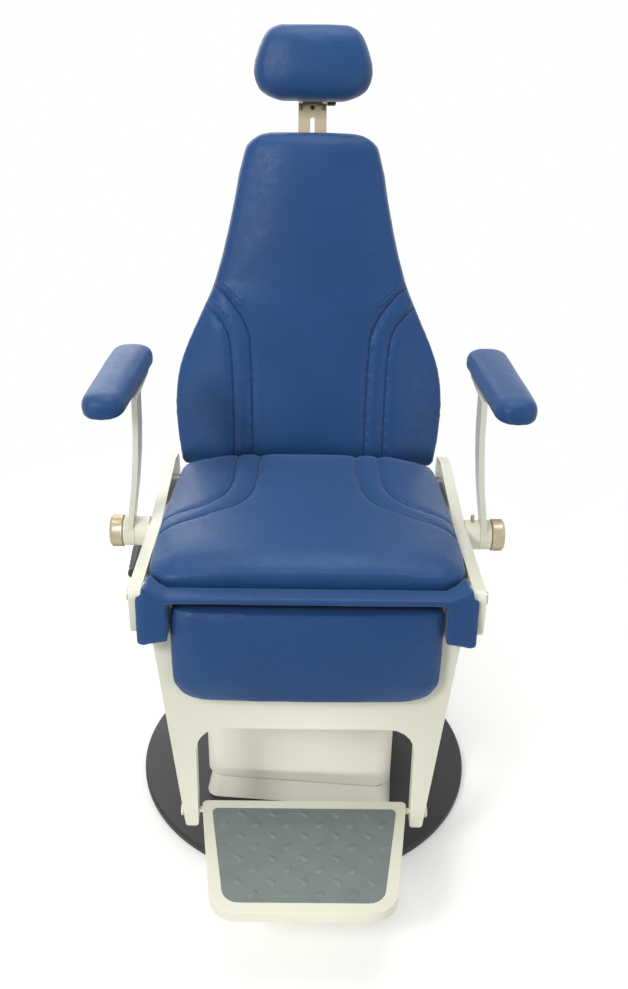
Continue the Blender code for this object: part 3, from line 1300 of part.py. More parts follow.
def build_leg_rest(leg):
    slope = (LEG_TOP_HALF_X - LEG_BOTTOM_HALF_X) / (LEG_FRAME_TOP - LEG_BOTTOM)
    corners = [
        (LEG_BOTTOM_HALF_X, LEG_BOTTOM, LEG_CORNER),
        (LEG_TOP_HALF_X, LEG_FRAME_TOP, LEG_CORNER),
        (ARM_INNER_X, LEG_FRAME_TOP, LEG_CORNER),
        (ARM_INNER_X, CROSSBAR_TOP, CROSSBAR_FILLET / 2),
    ]
    under = [
        (-LEG_INNER_HALF_X, LEG_BOTTOM, LEG_CORNER),
        (-LEG_INNER_HALF_X, CROSSBAR_BOTTOM, CROSSBAR_FILLET),
        (LEG_INNER_HALF_X, CROSSBAR_BOTTOM, CROSSBAR_FILLET),
        (LEG_INNER_HALF_X, LEG_BOTTOM, LEG_CORNER),
    ]
    outline = rounded(mirrored(corners) + under)
    mesh = plate_mesh("XZ", [outline], LEG_FRAME_FRONT, LEG_FRAME_REAR)
    frame = add("leg_frame", mesh, CREAM_PAINT, leg)
    round_edges(frame, LEG_ROUNDING, 1, 60)
    ear = rounded(
        [
            (-LEG_EAR_RADIUS, LEG_EAR_RADIUS, LEG_EAR_RADIUS * 0.95),
            (-LEG_EAR_RADIUS, -LEG_EAR_RADIUS, LEG_EAR_RADIUS * 0.5),
            (LEG_FRAME_FRONT + LEG_ROUNDING, LEG_EAR_FOOT, 0.0),
            (LEG_FRAME_REAR - LEG_ROUNDING, LEG_EAR_FOOT, 0.0),
            (LEG_FRAME_REAR - LEG_ROUNDING, LEG_FRAME_TOP, LEG_CORNER),
            (LEG_EAR_RADIUS, LEG_EAR_RADIUS, LEG_EAR_RADIUS * 0.5),
        ]
    )
    ear_foot = LEG_TOP_HALF_X + slope * (LEG_EAR_FOOT - LEG_FRAME_TOP) - LEG_EAR_THICKNESS
    for side in (-1, 1):
        low, high = sorted((side * LEG_EAR_INNER_X, side * LEG_EAR_OUTER_X))
        combine(frame, "UNION", plate_mesh("YZ", [ear], low, high))
        filler_low, filler_high = sorted((side * ear_foot, side * (LEG_EAR_INNER_X + LEG_ROUNDING)))
        block = box_mesh(
            (filler_low, LEG_FRAME_FRONT + 2 * LEG_ROUNDING, LEG_EAR_FOOT + LEG_ROUNDING),
            (filler_high, LEG_FRAME_REAR - LEG_ROUNDING * 2, LEG_FRAME_TOP - LEG_ROUNDING * 2),
        )
        combine(frame, "UNION", block)
        hinge_start = (side * (LEG_EAR_INNER_X - LEG_EAR_THICKNESS), 0.0, 0.0)
        bore = rod_mesh("X", LEG_PIN_RADIUS + PLAY, hinge_start, side * SIDE_OUTER_X, 16)
        combine(frame, "DIFFERENCE", bore)
        pivot_start = (side * LEG_INNER_HALF_X * 0.95, FOOT_PIVOT_Y, FOOT_PIVOT_Z)
        pivot_end = side * (LEG_TOP_HALF_X + LEG_EAR_THICKNESS)
        bore = rod_mesh("X", FOOT_PIVOT_RADIUS + GAP, pivot_start, pivot_end, 16)
        combine(frame, "DIFFERENCE", bore)

    crank = crank_mesh(LINK_CRANK_X, ARM_INNER_X - GAP, CRANK_BOSS)
    crank.transform(level_frame(-LEG_TILT))
    crank_plate = add("legrest_crank", crank, STEEL, leg)
    pin = rod_mesh(
        "X",
        CRANK_PIN_RADIUS,
        (LINK_X - LINK_THICKNESS / 2, CRANK_REST_Y, CRANK_REST_Z),
        LINK_CRANK_X + CRANK_THICKNESS / 2,
        16,
    )
    pin.transform(level_frame(-LEG_TILT))
    combine(crank_plate, "UNION", pin)
    room_low = (LINK_CRANK_X - CRANK_THICKNESS, -CRANK_RADIUS, -CRANK_RADIUS)
    room_high = (LINK_CRANK_X + 2 * CRANK_THICKNESS, LEG_FRAME_FRONT, CRANK_RADIUS)
    combine(crank_plate, "DIFFERENCE", box_mesh(room_low, room_high))
    room_low = (LINK_CRANK_X - CRANK_THICKNESS, -CRANK_RADIUS, LEG_FRAME_TOP)
    room_high = (LINK_CRANK_X + 2 * CRANK_THICKNESS, CRANK_RADIUS, CRANK_RADIUS)
    combine(crank_plate, "DIFFERENCE", box_mesh(room_low, room_high))

    corner = CALF_ROUNDING
    low_rows, high_rows = ends_of(CALF_BOTTOM, CALF_TOP, corner)
    bottom_rows = between(low_rows[-1], CALF_BOTTOM + CALF_CORNER, 3)
    rows = []
    for z in low_rows + bottom_rows + between(bottom_rows[-1], high_rows[0], 3) + high_rows:
        nearest = min(z - CALF_BOTTOM, CALF_TOP - z)
        plump = math.sqrt(max(1 - (1 - min(nearest / corner, 1.0)) ** 2, 0.0))
        face = CALF_EDGE + (CALF_FRONT - CALF_EDGE) * (0.2 + 0.8 * plump)
        half = CALF_HALF_X - corner_inset(z - CALF_BOTTOM, CALF_CORNER)
        half -= corner_inset(CALF_TOP - z, CALF_TOP_CORNER)
        rows.append([(x, y, z) for x, y in pad_section(half, CALF_EDGE, face, PAD_REAR)])
    loft("calf_pad", rows, BLUE_VINYL, leg)
    build_apron(leg)


def apron_section(x, bottom, front, top, rear, ledge, flap):
    """A section of the apron: rounded at the front, and reaching back to flap above a ledge."""
    edge = min((rear - front) * 0.4, APRON_EDGE)
    return [
        (x, rear, bottom),
        (x, front + edge, bottom),
        (x, front + edge * 0.3, bottom + edge * 0.3),
        (x, front, bottom + edge),
        (x, front, (bottom + top) / 2),
        (x, front + edge * 0.15, top - edge * 0.6),
        (x, front + edge * 0.5, top - edge * 0.2),
        (x, front + edge, top),
        (x, flap - edge * 0.4, top),
        (x, flap, top - edge * 0.4),
        (x, flap, ledge),
        (x, rear, ledge),
    ]


def build_apron(leg):
    step = APRON_STEP
    wing = APRON_WING_INNER
    inside = LEG_EAR_INNER_X - 2 * step
    ledge = LEG_FRAME_TOP + GAP
    nose = -NOSE_RADIUS - step
    low = APRON_STRIP_BOTTOM
    high = APRON_STRIP_TOP
    right = []
    for x, rear in ((ARM_INNER_X - step, APRON_STRIP_REAR), (wing - step, PAD_REAR)):
        right.append(apron_section(x, low, APRON_FRONT, high, rear, (low + high) / 2, rear))
    slope = APRON_WING_RISE / (APRON_HALF_X - wing)
    for share in (0.0, 0.5, 1.0):
        x = wing + step + share * (inside - wing - step)
        bottom = APRON_WING_BOTTOM + slope * (APRON_HALF_X - x)
        top = high + share * (APRON_FLAP_TOP - high)
        corner = seat_corner(x) - APRON_SEAT_GAP - LEG_HINGE_Y
        flap = min(math.sqrt(corner * corner - top * top), APRON_FLAP_REACH)
        right.append(apron_section(x, bottom, APRON_FRONT, top, PAD_REAR, ledge, flap))
    over_ear = LEG_EAR_RADIUS + step
    for x, flap in ((inside + step, APRON_FLAP_REACH), (LEG_EAR_OUTER_X - step, nose)):
        bottom = APRON_WING_BOTTOM + slope * (APRON_HALF_X - x)
        right.append(apron_section(x, bottom, APRON_FRONT, APRON_FLAP_TOP, nose, over_ear, flap))
    rim = APRON_RIM
    for x, draw in ((LEG_EAR_OUTER_X, 0.0), (APRON_HALF_X - rim, rim / 4), (APRON_HALF_X, rim)):
        bottom = APRON_WING_BOTTOM + slope * (APRON_HALF_X - x) + draw
        top = APRON_WING_TOP - draw
        right.append(apron_section(x, bottom, APRON_FRONT + draw, top, nose, 0.0, nose))
    left = [[(-x, y, z) for x, y, z in row] for row in reversed(right)]
    loft("legrest_apron", left + right, BLUE_VINYL, leg)


def build_footplate(leg):
    place = (0.0, FOOT_PIVOT_Y, FOOT_PIVOT_Z)
    foot = axis("footplate_axis", place, leg, tilt=LEG_TILT)
    outline = rounded(
        mirrored(
            [
                (TRAY_FRONT_HALF_X, TRAY_FRONT, TRAY_CORNER),
                (TRAY_REAR_HALF_X, TRAY_REAR, TRAY_REAR_CORNER),
            ]
        )
    )
    mesh = plate_mesh("XY", [outline], TRAY_BOTTOM, TRAY_TOP)
    tray = add("footplate_tray", mesh, CREAM_PAINT, foot)
    round_edges(tray, TRAY_ROUNDING, 1, 60)
    mat_corners = [
        (TRAY_FRONT_HALF_X - TRAY_RIM, TRAY_FRONT + TRAY_RIM, TRAY_CORNER - TRAY_RIM),
        (TRAY_REAR_HALF_X - TRAY_RIM, TRAY_REAR - TRAY_RIM, TRAY_REAR_CORNER),
    ]
    recess = rounded(mirrored(mat_corners))
    recess_floor = TRAY_TOP - MAT_THICKNESS
    combine(tray, "DIFFERENCE", plate_mesh("XY", [recess], recess_floor, TRAY_TOP + MAT_THICKNESS))
    wall = TRAY_WALL
    hollow = rounded(
        mirrored(
            [
                (TRAY_FRONT_HALF_X - wall, TRAY_FRONT + wall, TRAY_CORNER - wall),
                (TRAY_REAR_HALF_X - wall, TRAY_REAR - FOOT_PIVOT_DEPTH * 1.6, TRAY_REAR_CORNER),
            ]
        )
    )
    hollow_top = recess_floor - wall
    combine(tray, "DIFFERENCE", plate_mesh("XY", [hollow], TRAY_BOTTOM - wall, hollow_top))
    mat = [
        (math.copysign(abs(x) - GAP, x), y + (GAP if y < 0.5 * TRAY_FRONT else -GAP)) for x, y in recess
    ]
    mat_bottom = recess_floor + GAP
    add("footplate_mat", plate_mesh("XY", [mat], mat_bottom, TRAY_TOP + MAT_PROUD), TREAD_RUBBER, foot)

    edge_slope = (LEG_TOP_HALF_X - LEG_BOTTOM_HALF_X) / (LEG_FRAME_TOP - LEG_BOTTOM)
    leg_outer = LEG_BOTTOM_HALF_X + edge_slope * (FOOT_PIVOT_Z + FOOT_PIVOT_CAP_RADIUS - LEG_BOTTOM)
    cap_start = leg_outer + GAP
    pin_end = TRAY_REAR_HALF_X - FOOT_PIVOT_DEPTH
    for name, side in (("left", -1), ("right", 1)):
        bore_start = (side * (pin_end - GAP), 0.0, 0.0)
        bore = rod_mesh("X", FOOT_PIVOT_RADIUS + PLAY, bore_start, side * LEG_TOP_HALF_X, 16)
        combine(tray, "DIFFERENCE", bore)
        turned(
            f"footplate_pin_{name}",
            [
                (0.0, cap_start + FOOT_PIVOT_CAP),
                (FOOT_PIVOT_CAP_RADIUS * 0.8, cap_start + FOOT_PIVOT_CAP),
                (FOOT_PIVOT_CAP_RADIUS, cap_start + FOOT_PIVOT_CAP * 0.6),
                (FOOT_PIVOT_CAP_RADIUS, cap_start),
                (FOOT_PIVOT_RADIUS, cap_start),
                (FOOT_PIVOT_RADIUS, pin_end),
                (0.0, pin_end),
            ],
            CREAM_PAINT,
            leg,
            "X",
            place,
            16,
        ).scale.z = side


def build_link(leg):
    """The bar that makes the leg rest rise as the backrest reclines."""
    pin_y = LEG_HINGE_Y + CRANK_REST_Y
    pin_z = LEG_HINGE_Z + CRANK_REST_Z
    link = axis("link_axis", (0.0, 0.0, 0.0), leg)
    link.matrix_local = (
        Matrix.Translation((0.0, LEG_HINGE_Y, LEG_HINGE_Z)) @ Matrix.Rotation(-LEG_TILT, 4, "X")
    ).inverted() @ Matrix.Translation((0.0, pin_y, pin_z))
    rear = Vector((RECLINE_Y - LEG_HINGE_Y, RECLINE_Z - LEG_HINGE_Z))
    along = rear.normalized()
    side = Vector((-along.y, along.x))
    half = LINK_HALF_HEIGHT
    corners = []
    for end, way in ((Vector((0.0, 0.0)), -1), (rear, 1)):
        for turn in (way, -way):
            corner = end + along * half * way - side * half * turn
            corners.append((corner.x, corner.y, half * 0.98))
    holes = [circle(CRANK_PIN_RADIUS + PLAY, 20), circle(CRANK_PIN_RADIUS + PLAY, 20, rear)]
    low = LINK_X - LINK_THICKNESS / 2
    high = LINK_X + LINK_THICKNESS / 2
    add("link_rod", plate_mesh("YZ", [rounded(corners)] + holes, low, high), STEEL, link)


def post_mesh(side):
    """A flat bar that leans inwards on its way up from the hub to the pad."""
    height = POST_HEIGHT - ARM_PLATE_THICKNESS / 2
    bm = bmesh.new()
    bmesh.ops.create_cube(bm, size=1.0)
    uprights = [edge for edge in bm.edges if abs(edge.verts[0].co.z - edge.verts[1].co.z) > 0.5]
    bmesh.ops.subdivide_edges(bm, edges=uprights, cuts=POST_STEPS, use_grid_fill=True)
    middle = (EYE_START_X + EYE_END_X) / 2
    for vert in bm.verts:
        up = vert.co.z + 0.5
        eased = up * (2 - up)
        x = middle + vert.co.x * POST_THICKNESS - POST_LEAN * eased
        y = vert.co.y * POST_WIDTH - POST_FORWARD * eased
        vert.co = (side * x, y, up * height)
    bmesh.ops.recalc_face_normals(bm, faces=bm.faces)
    return mesh_from(bm, "post")


def arm_pad_middle(y):
    share = (y - ARM_PAD_FRONT) / (ARM_PAD_REAR - ARM_PAD_FRONT)
    return ARM_PAD_FRONT_X + (ARM_PAD_REAR_X - ARM_PAD_FRONT_X) * share


def arm_pad_half(y):
    share = (y - ARM_PAD_FRONT) / (ARM_PAD_REAR - ARM_PAD_FRONT)
    half = ARM_PAD_FRONT_HALF_X + (ARM_PAD_HALF_X - ARM_PAD_FRONT_HALF_X) * share
    nearest = min(y - ARM_PAD_FRONT, ARM_PAD_REAR - y)
    return half - corner_inset(nearest, ARM_PAD_CORNER) * 0.85


def build_armrest(seat, name, side):
    place = (0.0, HUB_Y, HUB_Z)
    arm = axis(f"arm_{name}_axis", place, seat)
    eye_start = (side * EYE_START_X, 0.0, 0.0)
    mesh = rod_mesh("X", HUB_RADIUS, eye_start, side * EYE_END_X, 32)
    post = add(f"arm_post_{name}", mesh, CREAM_PAINT, arm)
    combine(post, "UNION", post_mesh(side))
    pad_inner = arm_pad_middle(ARM_PAD_REAR) - ARM_PAD_FRONT_HALF_X
    plate_x = side * (pad_inner + ARM_PLATE_HALF_X + POST_THICKNESS / 2)
    plate_low = (
        plate_x - ARM_PLATE_HALF_X,
        -POST_FORWARD - ARM_PLATE_HALF_Y,
        POST_HEIGHT - ARM_PLATE_THICKNESS,
    )
    plate_high = (plate_x + ARM_PLATE_HALF_X, ARM_PLATE_HALF_Y - POST_FORWARD, POST_HEIGHT)
    combine(post, "UNION", box_mesh(plate_low, plate_high))
    bore_start = (side * HUB_START_X, 0.0, 0.0)
    bore = rod_mesh("X", AXLE_RADIUS + PLAY, bore_start, side * ARM_KNOB_END_X)
    combine(post, "DIFFERENCE", bore)

    corner = ARM_PAD_ROUNDING
    front_rows, rear_rows = ends_of(ARM_PAD_FRONT, ARM_PAD_REAR, corner)
    bottom = POST_HEIGHT + GAP
    edge = bottom + ARM_PAD_EDGE_HEIGHT
    rows = []
    for y in front_rows + between(front_rows[-1], rear_rows[0], 4) + rear_rows:
        nearest = min(y - ARM_PAD_FRONT, ARM_PAD_REAR - y)
        plump = math.sqrt(max(1 - (1 - min(nearest / corner, 1.0)) ** 2, 0.0))
        face = edge + (ARM_PAD_THICKNESS - ARM_PAD_EDGE_HEIGHT) * (0.15 + 0.85 * plump)
        section = pad_section(arm_pad_half(y), edge, face, bottom)
        middle = side * arm_pad_middle(y)
        rows.append([(middle + x, y - HUB_Y, z) for x, z in section])
    loft(f"arm_pad_{name}", rows, BLUE_VINYL, arm)

    knob_axis = axis(f"arm_knob_{name}_axis", (0.0, 0.0, 0.0), arm)
    start = ARM_KNOB_START_X
    end = ARM_KNOB_END_X
    bore_radius = AXLE_RADIUS + PLAY
    bore_floor = end - ARM_KNOB_CAP + GAP
    turned(
        f"arm_knob_{name}",
        [
            (0.0, end),
            (ARM_KNOB_RADIUS - ARM_KNOB_CAP / 2, end),
            (ARM_KNOB_RADIUS, end - ARM_KNOB_CAP / 2),
            (ARM_KNOB_RADIUS, start + ARM_KNOB_CAP / 3),
            (ARM_KNOB_RADIUS - ARM_KNOB_CAP / 3, start),
            (bore_radius, start),
            (bore_radius, bore_floor),
            (0.0, bore_floor),
        ],
        NICKEL,
        knob_axis,
        "X",
        steps=24,
    ).scale.z = side


def build_lever(seat):
    """The swivel lock: a bent rod under the left side frame, with a ribbed grip."""
    lever = axis("lock_lever_axis", (0.0, LEVER_Y, LEVER_Z), seat)
    rise = GRIP_Z - LEVER_Z
    bend = LEVER_BEND
    grip_start = GRIP_REAR - LEVER_Y
    route = [(LEVER_INNER_X, 0.0, 0.0), (LEVER_OUTER_X + bend, 0.0, 0.0)]
    steps = 8
    for step in range(1, steps + 1):
        share = step / steps
        angle = math.pi / 2 * share
        x = LEVER_OUTER_X + bend * (1 - math.sin(angle))
        forward = (1 - math.cos(angle)) * (grip_start + bend / 5)
        route.append((x, forward, rise * share * share * (3 - 2 * share)))
    route.append((LEVER_OUTER_X, grip_start - GRIP_BORE_DEPTH + PLAY, rise))
    curve = bpy.data.curves.new("lock_lever", "CURVE")
    curve.dimensions = "3D"
    curve.bevel_depth = LEVER_RADIUS
    curve.bevel_resolution = 2
    curve.use_fill_caps = True
    spline = curve.splines.new("POLY")
    spline.points.add(len(route) - 1)
    for point, (x, y, z) in zip(spline.points, route):
        point.co = (x, y, z, 1.0)
    rod = bpy.data.objects.new("lock_lever", curve)
    curve.materials.append(STEEL)
    rod.parent = lever
    parts.objects.link(rod)

    length = GRIP_REAR - GRIP_FRONT
    ribs = []
    for rib in range(GRIP_RIBS * 2 + 1):
        share = rib / (GRIP_RIBS * 2)
        radius = GRIP_REAR_RADIUS + (GRIP_FRONT_RADIUS - GRIP_REAR_RADIUS) * share
        radius -= GRIP_RIB_DEPTH * (rib % 2)
        ribs.append((radius, length * (0.02 + 0.84 * share)))
    bore = LEVER_RADIUS + PLAY
    profile = [(0.0, length), (GRIP_FRONT_RADIUS * 0.6, length), (GRIP_FRONT_RADIUS * 0.95, length * 0.94)]
    profile += ribs[::-1] + [(GRIP_REAR_RADIUS * 0.9, 0.0), (bore, 0.0), (bore, GRIP_BORE_DEPTH)]
    profile.append((0.0, GRIP_BORE_DEPTH))
    grip = turned("lock_grip", profile, BLACK_PLASTIC, lever, "Y", steps=14)
    forward = Matrix.Rotation(math.radians(90), 4, "X")
    grip.matrix_local = Matrix.Translation((LEVER_OUTER_X, grip_start, rise)) @ forward


def build_chair():
    start_scene()
    column = build_base()
    build_lift(column)
    seat = axis("swivel_axis", (0, 0, 0))
    build_chassis(seat)
    build_side_frames(seat)
    build_actuator(seat)
    build_seat_cushion(seat)
    back = axis("recline_axis", (0.0, RECLINE_Y, RECLINE_Z), seat, tilt=-BACK_TILT)
    build_recline(back)
    build_backrest(back)
    build_headrest(back)
    leg = axis("legrest_axis", (0.0, LEG_HINGE_Y, LEG_HINGE_Z), seat, tilt=-LEG_TILT)
    build_leg_rest(leg)
    build_footplate(leg)
    build_link(leg)
    for name, side in (("left", -1), ("right", 1)):
        build_armrest(seat, name, side)
    build_lever(seat)


build_chair()
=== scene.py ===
"""Looks of an ear, nose and throat examination chair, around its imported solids.

Metres, +Z up, the sitter faces -Y. The sections follow the chair as it is put together.
"""

import math

import bmesh
import bpy
import numpy as np
from mathutils import Matrix, Vector, noise
from mathutils.bvhtree import BVHTree


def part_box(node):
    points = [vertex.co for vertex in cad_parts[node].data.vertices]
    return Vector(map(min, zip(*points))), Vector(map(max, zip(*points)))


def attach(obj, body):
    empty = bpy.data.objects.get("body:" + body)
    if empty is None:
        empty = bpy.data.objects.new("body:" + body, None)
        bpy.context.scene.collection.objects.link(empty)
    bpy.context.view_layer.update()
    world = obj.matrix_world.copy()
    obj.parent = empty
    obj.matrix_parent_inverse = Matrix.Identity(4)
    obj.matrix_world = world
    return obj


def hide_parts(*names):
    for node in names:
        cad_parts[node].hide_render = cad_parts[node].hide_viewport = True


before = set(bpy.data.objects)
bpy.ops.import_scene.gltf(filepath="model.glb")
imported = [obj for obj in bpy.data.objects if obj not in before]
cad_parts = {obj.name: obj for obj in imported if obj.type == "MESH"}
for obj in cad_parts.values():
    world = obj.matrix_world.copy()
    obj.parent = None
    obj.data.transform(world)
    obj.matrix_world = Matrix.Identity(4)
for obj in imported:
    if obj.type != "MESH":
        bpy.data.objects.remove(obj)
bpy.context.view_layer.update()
scene = bpy.context.scene
scene.view_settings.view_transform = "Standard"


# Camera. It stands 1.4 m high and 1.5 m in front of the column, and looks down on the chair as
# the photograph does. The lens takes in 53 degrees from top to bottom.
camera_place = (-0.0083, -1.5245, 1.3719)
camera_pan, camera_dip, camera_roll = -0.696, 27.334, 1.034  # degrees
camera_data = bpy.data.cameras.new("camera")
camera_data.sensor_width = 36
camera_data.lens = 36.4
camera = bpy.data.objects.new("camera", camera_data)
camera.matrix_world = (
    Matrix.Translation(camera_place)
    @ Matrix.Rotation(math.radians(camera_pan), 4, "Z")
    @ Matrix.Rotation(math.radians(90 - camera_dip), 4, "X")
    @ Matrix.Rotation(math.radians(camera_roll), 4, "Z")
)
scene.collection.objects.link(camera)
scene.camera = camera


# Floor and light. A seamless white studio floor that keeps the chair's soft shadow, a broad
# lamp at the upper left, two weaker ones at the sides, one overhead, one behind, a narrow
# one for the column between the legs, and a pale room all round.
def linear(code):
    """A linear colour from an sRGB hex code."""
    parts = [int(code[i:i + 2], 16) / 255 for i in (1, 3, 5)]
    return [p / 12.92 if p <= 0.04045 else ((p + 0.055) / 1.055) ** 2.4 for p in parts] + [1]


def add_node(tree, kind, inputs=None, **settings):
    """A shader node with its settings; an input takes a value, or the socket that feeds it."""
    node = tree.nodes.new("ShaderNode" + kind)
    for name, value in settings.items():
        setattr(node, name, value)
    for name, value in (inputs or {}).items():
        if isinstance(value, bpy.types.NodeSocket):
            tree.links.new(value, node.inputs[name])
        else:
            node.inputs[name].default_value = value
    return node


def seen_directly(tree):
    """1 for rays that show the stage itself: straight on, mirrored or through glass."""
    path = add_node(tree, "LightPath")
    straight = add_node(tree, "Math", {0: path.outputs["Is Camera Ray"],
                                       1: path.outputs["Is Glossy Ray"]}, operation="MAXIMUM")
    return add_node(tree, "Math", {0: straight.outputs[0],
                                   1: path.outputs["Is Transmission Ray"]},
                    operation="MAXIMUM").outputs[0]


room_light = 0.34
floor_lift = 0.34
floor_half, floor_gap = 60, 0.0002  # the paper lies a hair below the base's rubber mat
shadow_reach = (0.5, 1.6)  # the paper fades into the white room between these radii
lamps = {  # place, aim, width, watts, spread in degrees
    "key_lamp": ((-1.7, -2.4, 2.7), (0, 0, 0.6), 0.8, 54, 180),
    "left_lamp": ((-2.3, -2.5, 0.7), (0, 0, 0.6), 1.4, 14, 180),
    "right_lamp": ((2.4, -2.4, 0.8), (0, 0, 0.6), 1.4, 14, 180),
    "top_lamp": ((0.1, 0.1, 3.3), (0, 0, 0.6), 1.6, 40, 180),
    "rear_lamp": ((-1.2, 2.6, 2.0), (0, 0, 0.6), 2.0, 26, 180),
    "column_lamp": ((0, -2.9, 1.35), (0, -0.15, 0.12), 0.2, 130, 8),
}

world = bpy.data.worlds.new("studio")
world.use_nodes = True
world.node_tree.nodes.clear()
strength = add_node(world.node_tree, "Math",
                    {0: seen_directly(world.node_tree), 1: 1 - room_light, 2: room_light},
                    operation="MULTIPLY_ADD")
background = add_node(world.node_tree, "Background",
                      {"Color": (1, 1, 1, 1), "Strength": strength.outputs[0]})
add_node(world.node_tree, "OutputWorld", {"Surface": background.outputs[0]})
scene.world = world

floor_paper = bpy.data.materials.new("white_studio_paper")
floor_paper.use_nodes = True
tree = floor_paper.node_tree
tree.nodes.clear()
shown = seen_directly(tree)
paper = add_node(tree, "BsdfDiffuse", {"Color": linear("#EDEDEB")})
lift = add_node(tree, "Math", {0: shown, 1: floor_lift}, operation="MULTIPLY")
glow = add_node(tree, "Emission", {"Color": (1, 1, 1, 1), "Strength": lift.outputs[0]})
near_chair = add_node(tree, "AddShader", {0: paper.outputs[0], 1: glow.outputs[0]})
bright = add_node(tree, "Math", {0: shown, 1: 1 - room_light, 2: room_light},
                  operation="MULTIPLY_ADD")
far_off = add_node(tree, "Emission", {"Color": (1, 1, 1, 1), "Strength": bright.outputs[0]})
out = add_node(tree, "VectorMath", {0: add_node(tree, "TexCoord").outputs["Object"]},
               operation="LENGTH")
fade = add_node(tree, "MapRange", {"Value": out.outputs["Value"], "From Min": shadow_reach[0],
                                   "From Max": shadow_reach[1]}, interpolation_type="SMOOTHSTEP")
sweep = add_node(tree, "MixShader", {0: fade.outputs[0], 1: near_chair.outputs[0],
                                     2: far_off.outputs[0]})
add_node(tree, "OutputMaterial", {"Surface": sweep.outputs[0]})

bm = bmesh.new()
bmesh.ops.create_grid(bm, x_segments=1, y_segments=1, size=floor_half)
bmesh.ops.translate(bm, verts=bm.verts, vec=(0, 0, -floor_gap))
floor_mesh = bpy.data.meshes.new("floor")
bm.to_mesh(floor_mesh)
bm.free()
floor_mesh.materials.append(floor_paper)
floor = bpy.data.objects.new("floor", floor_mesh)
scene.collection.objects.link(floor)

for name, (place, aim, width, watts, spread) in lamps.items():
    beam = spread < 180
    lamp_data = bpy.data.lights.new(name, "SPOT" if beam else "AREA")
    lamp_data.energy = watts
    if beam:
        lamp_data.shadow_soft_size = width / 2
        lamp_data.spot_size, lamp_data.spot_blend = math.radians(spread), 1
    else:
        lamp_data.size = width
    lamp = bpy.data.objects.new(name, lamp_data)
    turn = (Vector(aim) - Vector(place)).to_track_quat("-Z", "Y")
    lamp.matrix_world = Matrix.Translation(place) @ turn.to_matrix().to_4x4()
    lamp.visible_glossy = not beam  # a beam would only leave sparks on enamel
    scene.collection.objects.link(lamp)


# Base. A round steel plate, sprayed with black enamel, on a rubber mat; a flared skirt of moulded
# ABS stands on it round the foot of the column, with the mains cable's gland at the back.
def new_finish(name, inputs):
    """A material with one Principled shader, its node tree and its object coordinates."""
    material = bpy.data.materials.new(name)
    material.use_nodes = True
    nodes = material.node_tree.nodes
    nodes.clear()
    shader = add_node(material.node_tree, "BsdfPrincipled", inputs)
    add_node(material.node_tree, "OutputMaterial", {"Surface": shader.outputs[0]})
    where = add_node(material.node_tree, "TexCoord").outputs["Object"]
    return material, material.node_tree, shader, where


def sprayed(name, tones, gloss, peel, peel_height, patch=0.11):
    """Sprayed or moulded coat: a faint orange peel, patches of two tones and of gloss."""
    material, tree, shader, where = new_finish(name, {"IOR": 1.5})
    patches = add_node(tree, "TexNoise", {"Vector": where, "Scale": 1 / patch, "Detail": 3})
    tone = add_node(tree, "Mix", {0: patches.outputs["Fac"], 6: linear(tones[0]),
                                  7: linear(tones[1])}, data_type="RGBA")
    rough = add_node(tree, "MapRange", {"Value": patches.outputs["Fac"], "To Min": gloss[0],
                                        "To Max": gloss[1]})
    skin = add_node(tree, "TexNoise", {"Vector": where, "Scale": 1 / peel, "Detail": 1})
    bump = add_node(tree, "Bump", {"Height": skin.outputs["Fac"], "Distance": peel_height,
                                   "Strength": 1})
    tree.links.new(tone.outputs[2], shader.inputs["Base Color"])
    tree.links.new(rough.outputs[0], shader.inputs["Roughness"])
    tree.links.new(bump.outputs[0], shader.inputs["Normal"])
    return material


def solid_of(node, weld=2e-5):
    """A copy of a node's solid, with its loose triangles joined at their corners."""
    bm = bmesh.new()
    bm.from_mesh(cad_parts[node].data)
    bmesh.ops.remove_doubles(bm, verts=bm.verts, dist=weld)
    return bm


def rolled(node, radius, segments=2, facet=2, corner=30):
    """A node's solid with its facets joined and its corners, in degrees, rolled to a radius."""
    bm = solid_of(node)
    bmesh.ops.dissolve_limit(bm, angle_limit=math.radians(facet), verts=bm.verts, edges=bm.edges)
    corners = [e for e in bm.edges
               if len(e.link_faces) == 2 and e.calc_face_angle() > math.radians(corner)]
    bmesh.ops.bevel(bm, geom=corners, offset=radius, offset_type="OFFSET", segments=segments,
                    profile=0.5, affect="EDGES", clamp_overlap=True, material=-1)
    return bm


def turned(profile, steps):
    """A shape turned round the Z axis from a profile of (radius, height) points."""
    bm = bmesh.new()
    points = [bm.verts.new((r, 0, h)) for r, h in profile]
    lines = [bm.edges.new(pair) for pair in zip(points, points[1:])]
    bmesh.ops.spin(bm, geom=points + lines, cent=(0, 0, 0), axis=(0, 0, 1),
                   angle=math.tau, steps=steps, use_merge=True)
    bmesh.ops.remove_doubles(bm, verts=bm.verts, dist=1e-6)
    bmesh.ops.recalc_face_normals(bm, faces=bm.faces)
    return bm


def set_piece(bm, name, body, slot, material, *nodes, sharp=42):
    """Makes a shape a smooth piece of the chair that rides a body and stands for nodes.

    Edges that turn by more than `sharp` degrees stay sharp.
    """
    mesh = bpy.data.meshes.new(name)
    bm.to_mesh(mesh)
    bm.free()
    mesh.shade_smooth()
    mesh.set_sharp_from_angle(angle=math.radians(sharp))
    mesh.materials.append(material)
    piece = bpy.data.objects.new(name, mesh)
    scene.collection.objects.link(piece)
    piece.modifiers.new("even_shading", "WEIGHTED_NORMAL").keep_sharp = True
    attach(piece, body)
    if nodes:
        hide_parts(*nodes)
    return piece


def coat_nodes(material, *nodes):
    """Gives CAD nodes whose shape is right as it is their finish."""
    for node in nodes:
        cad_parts[node].material_slots[0].material = material


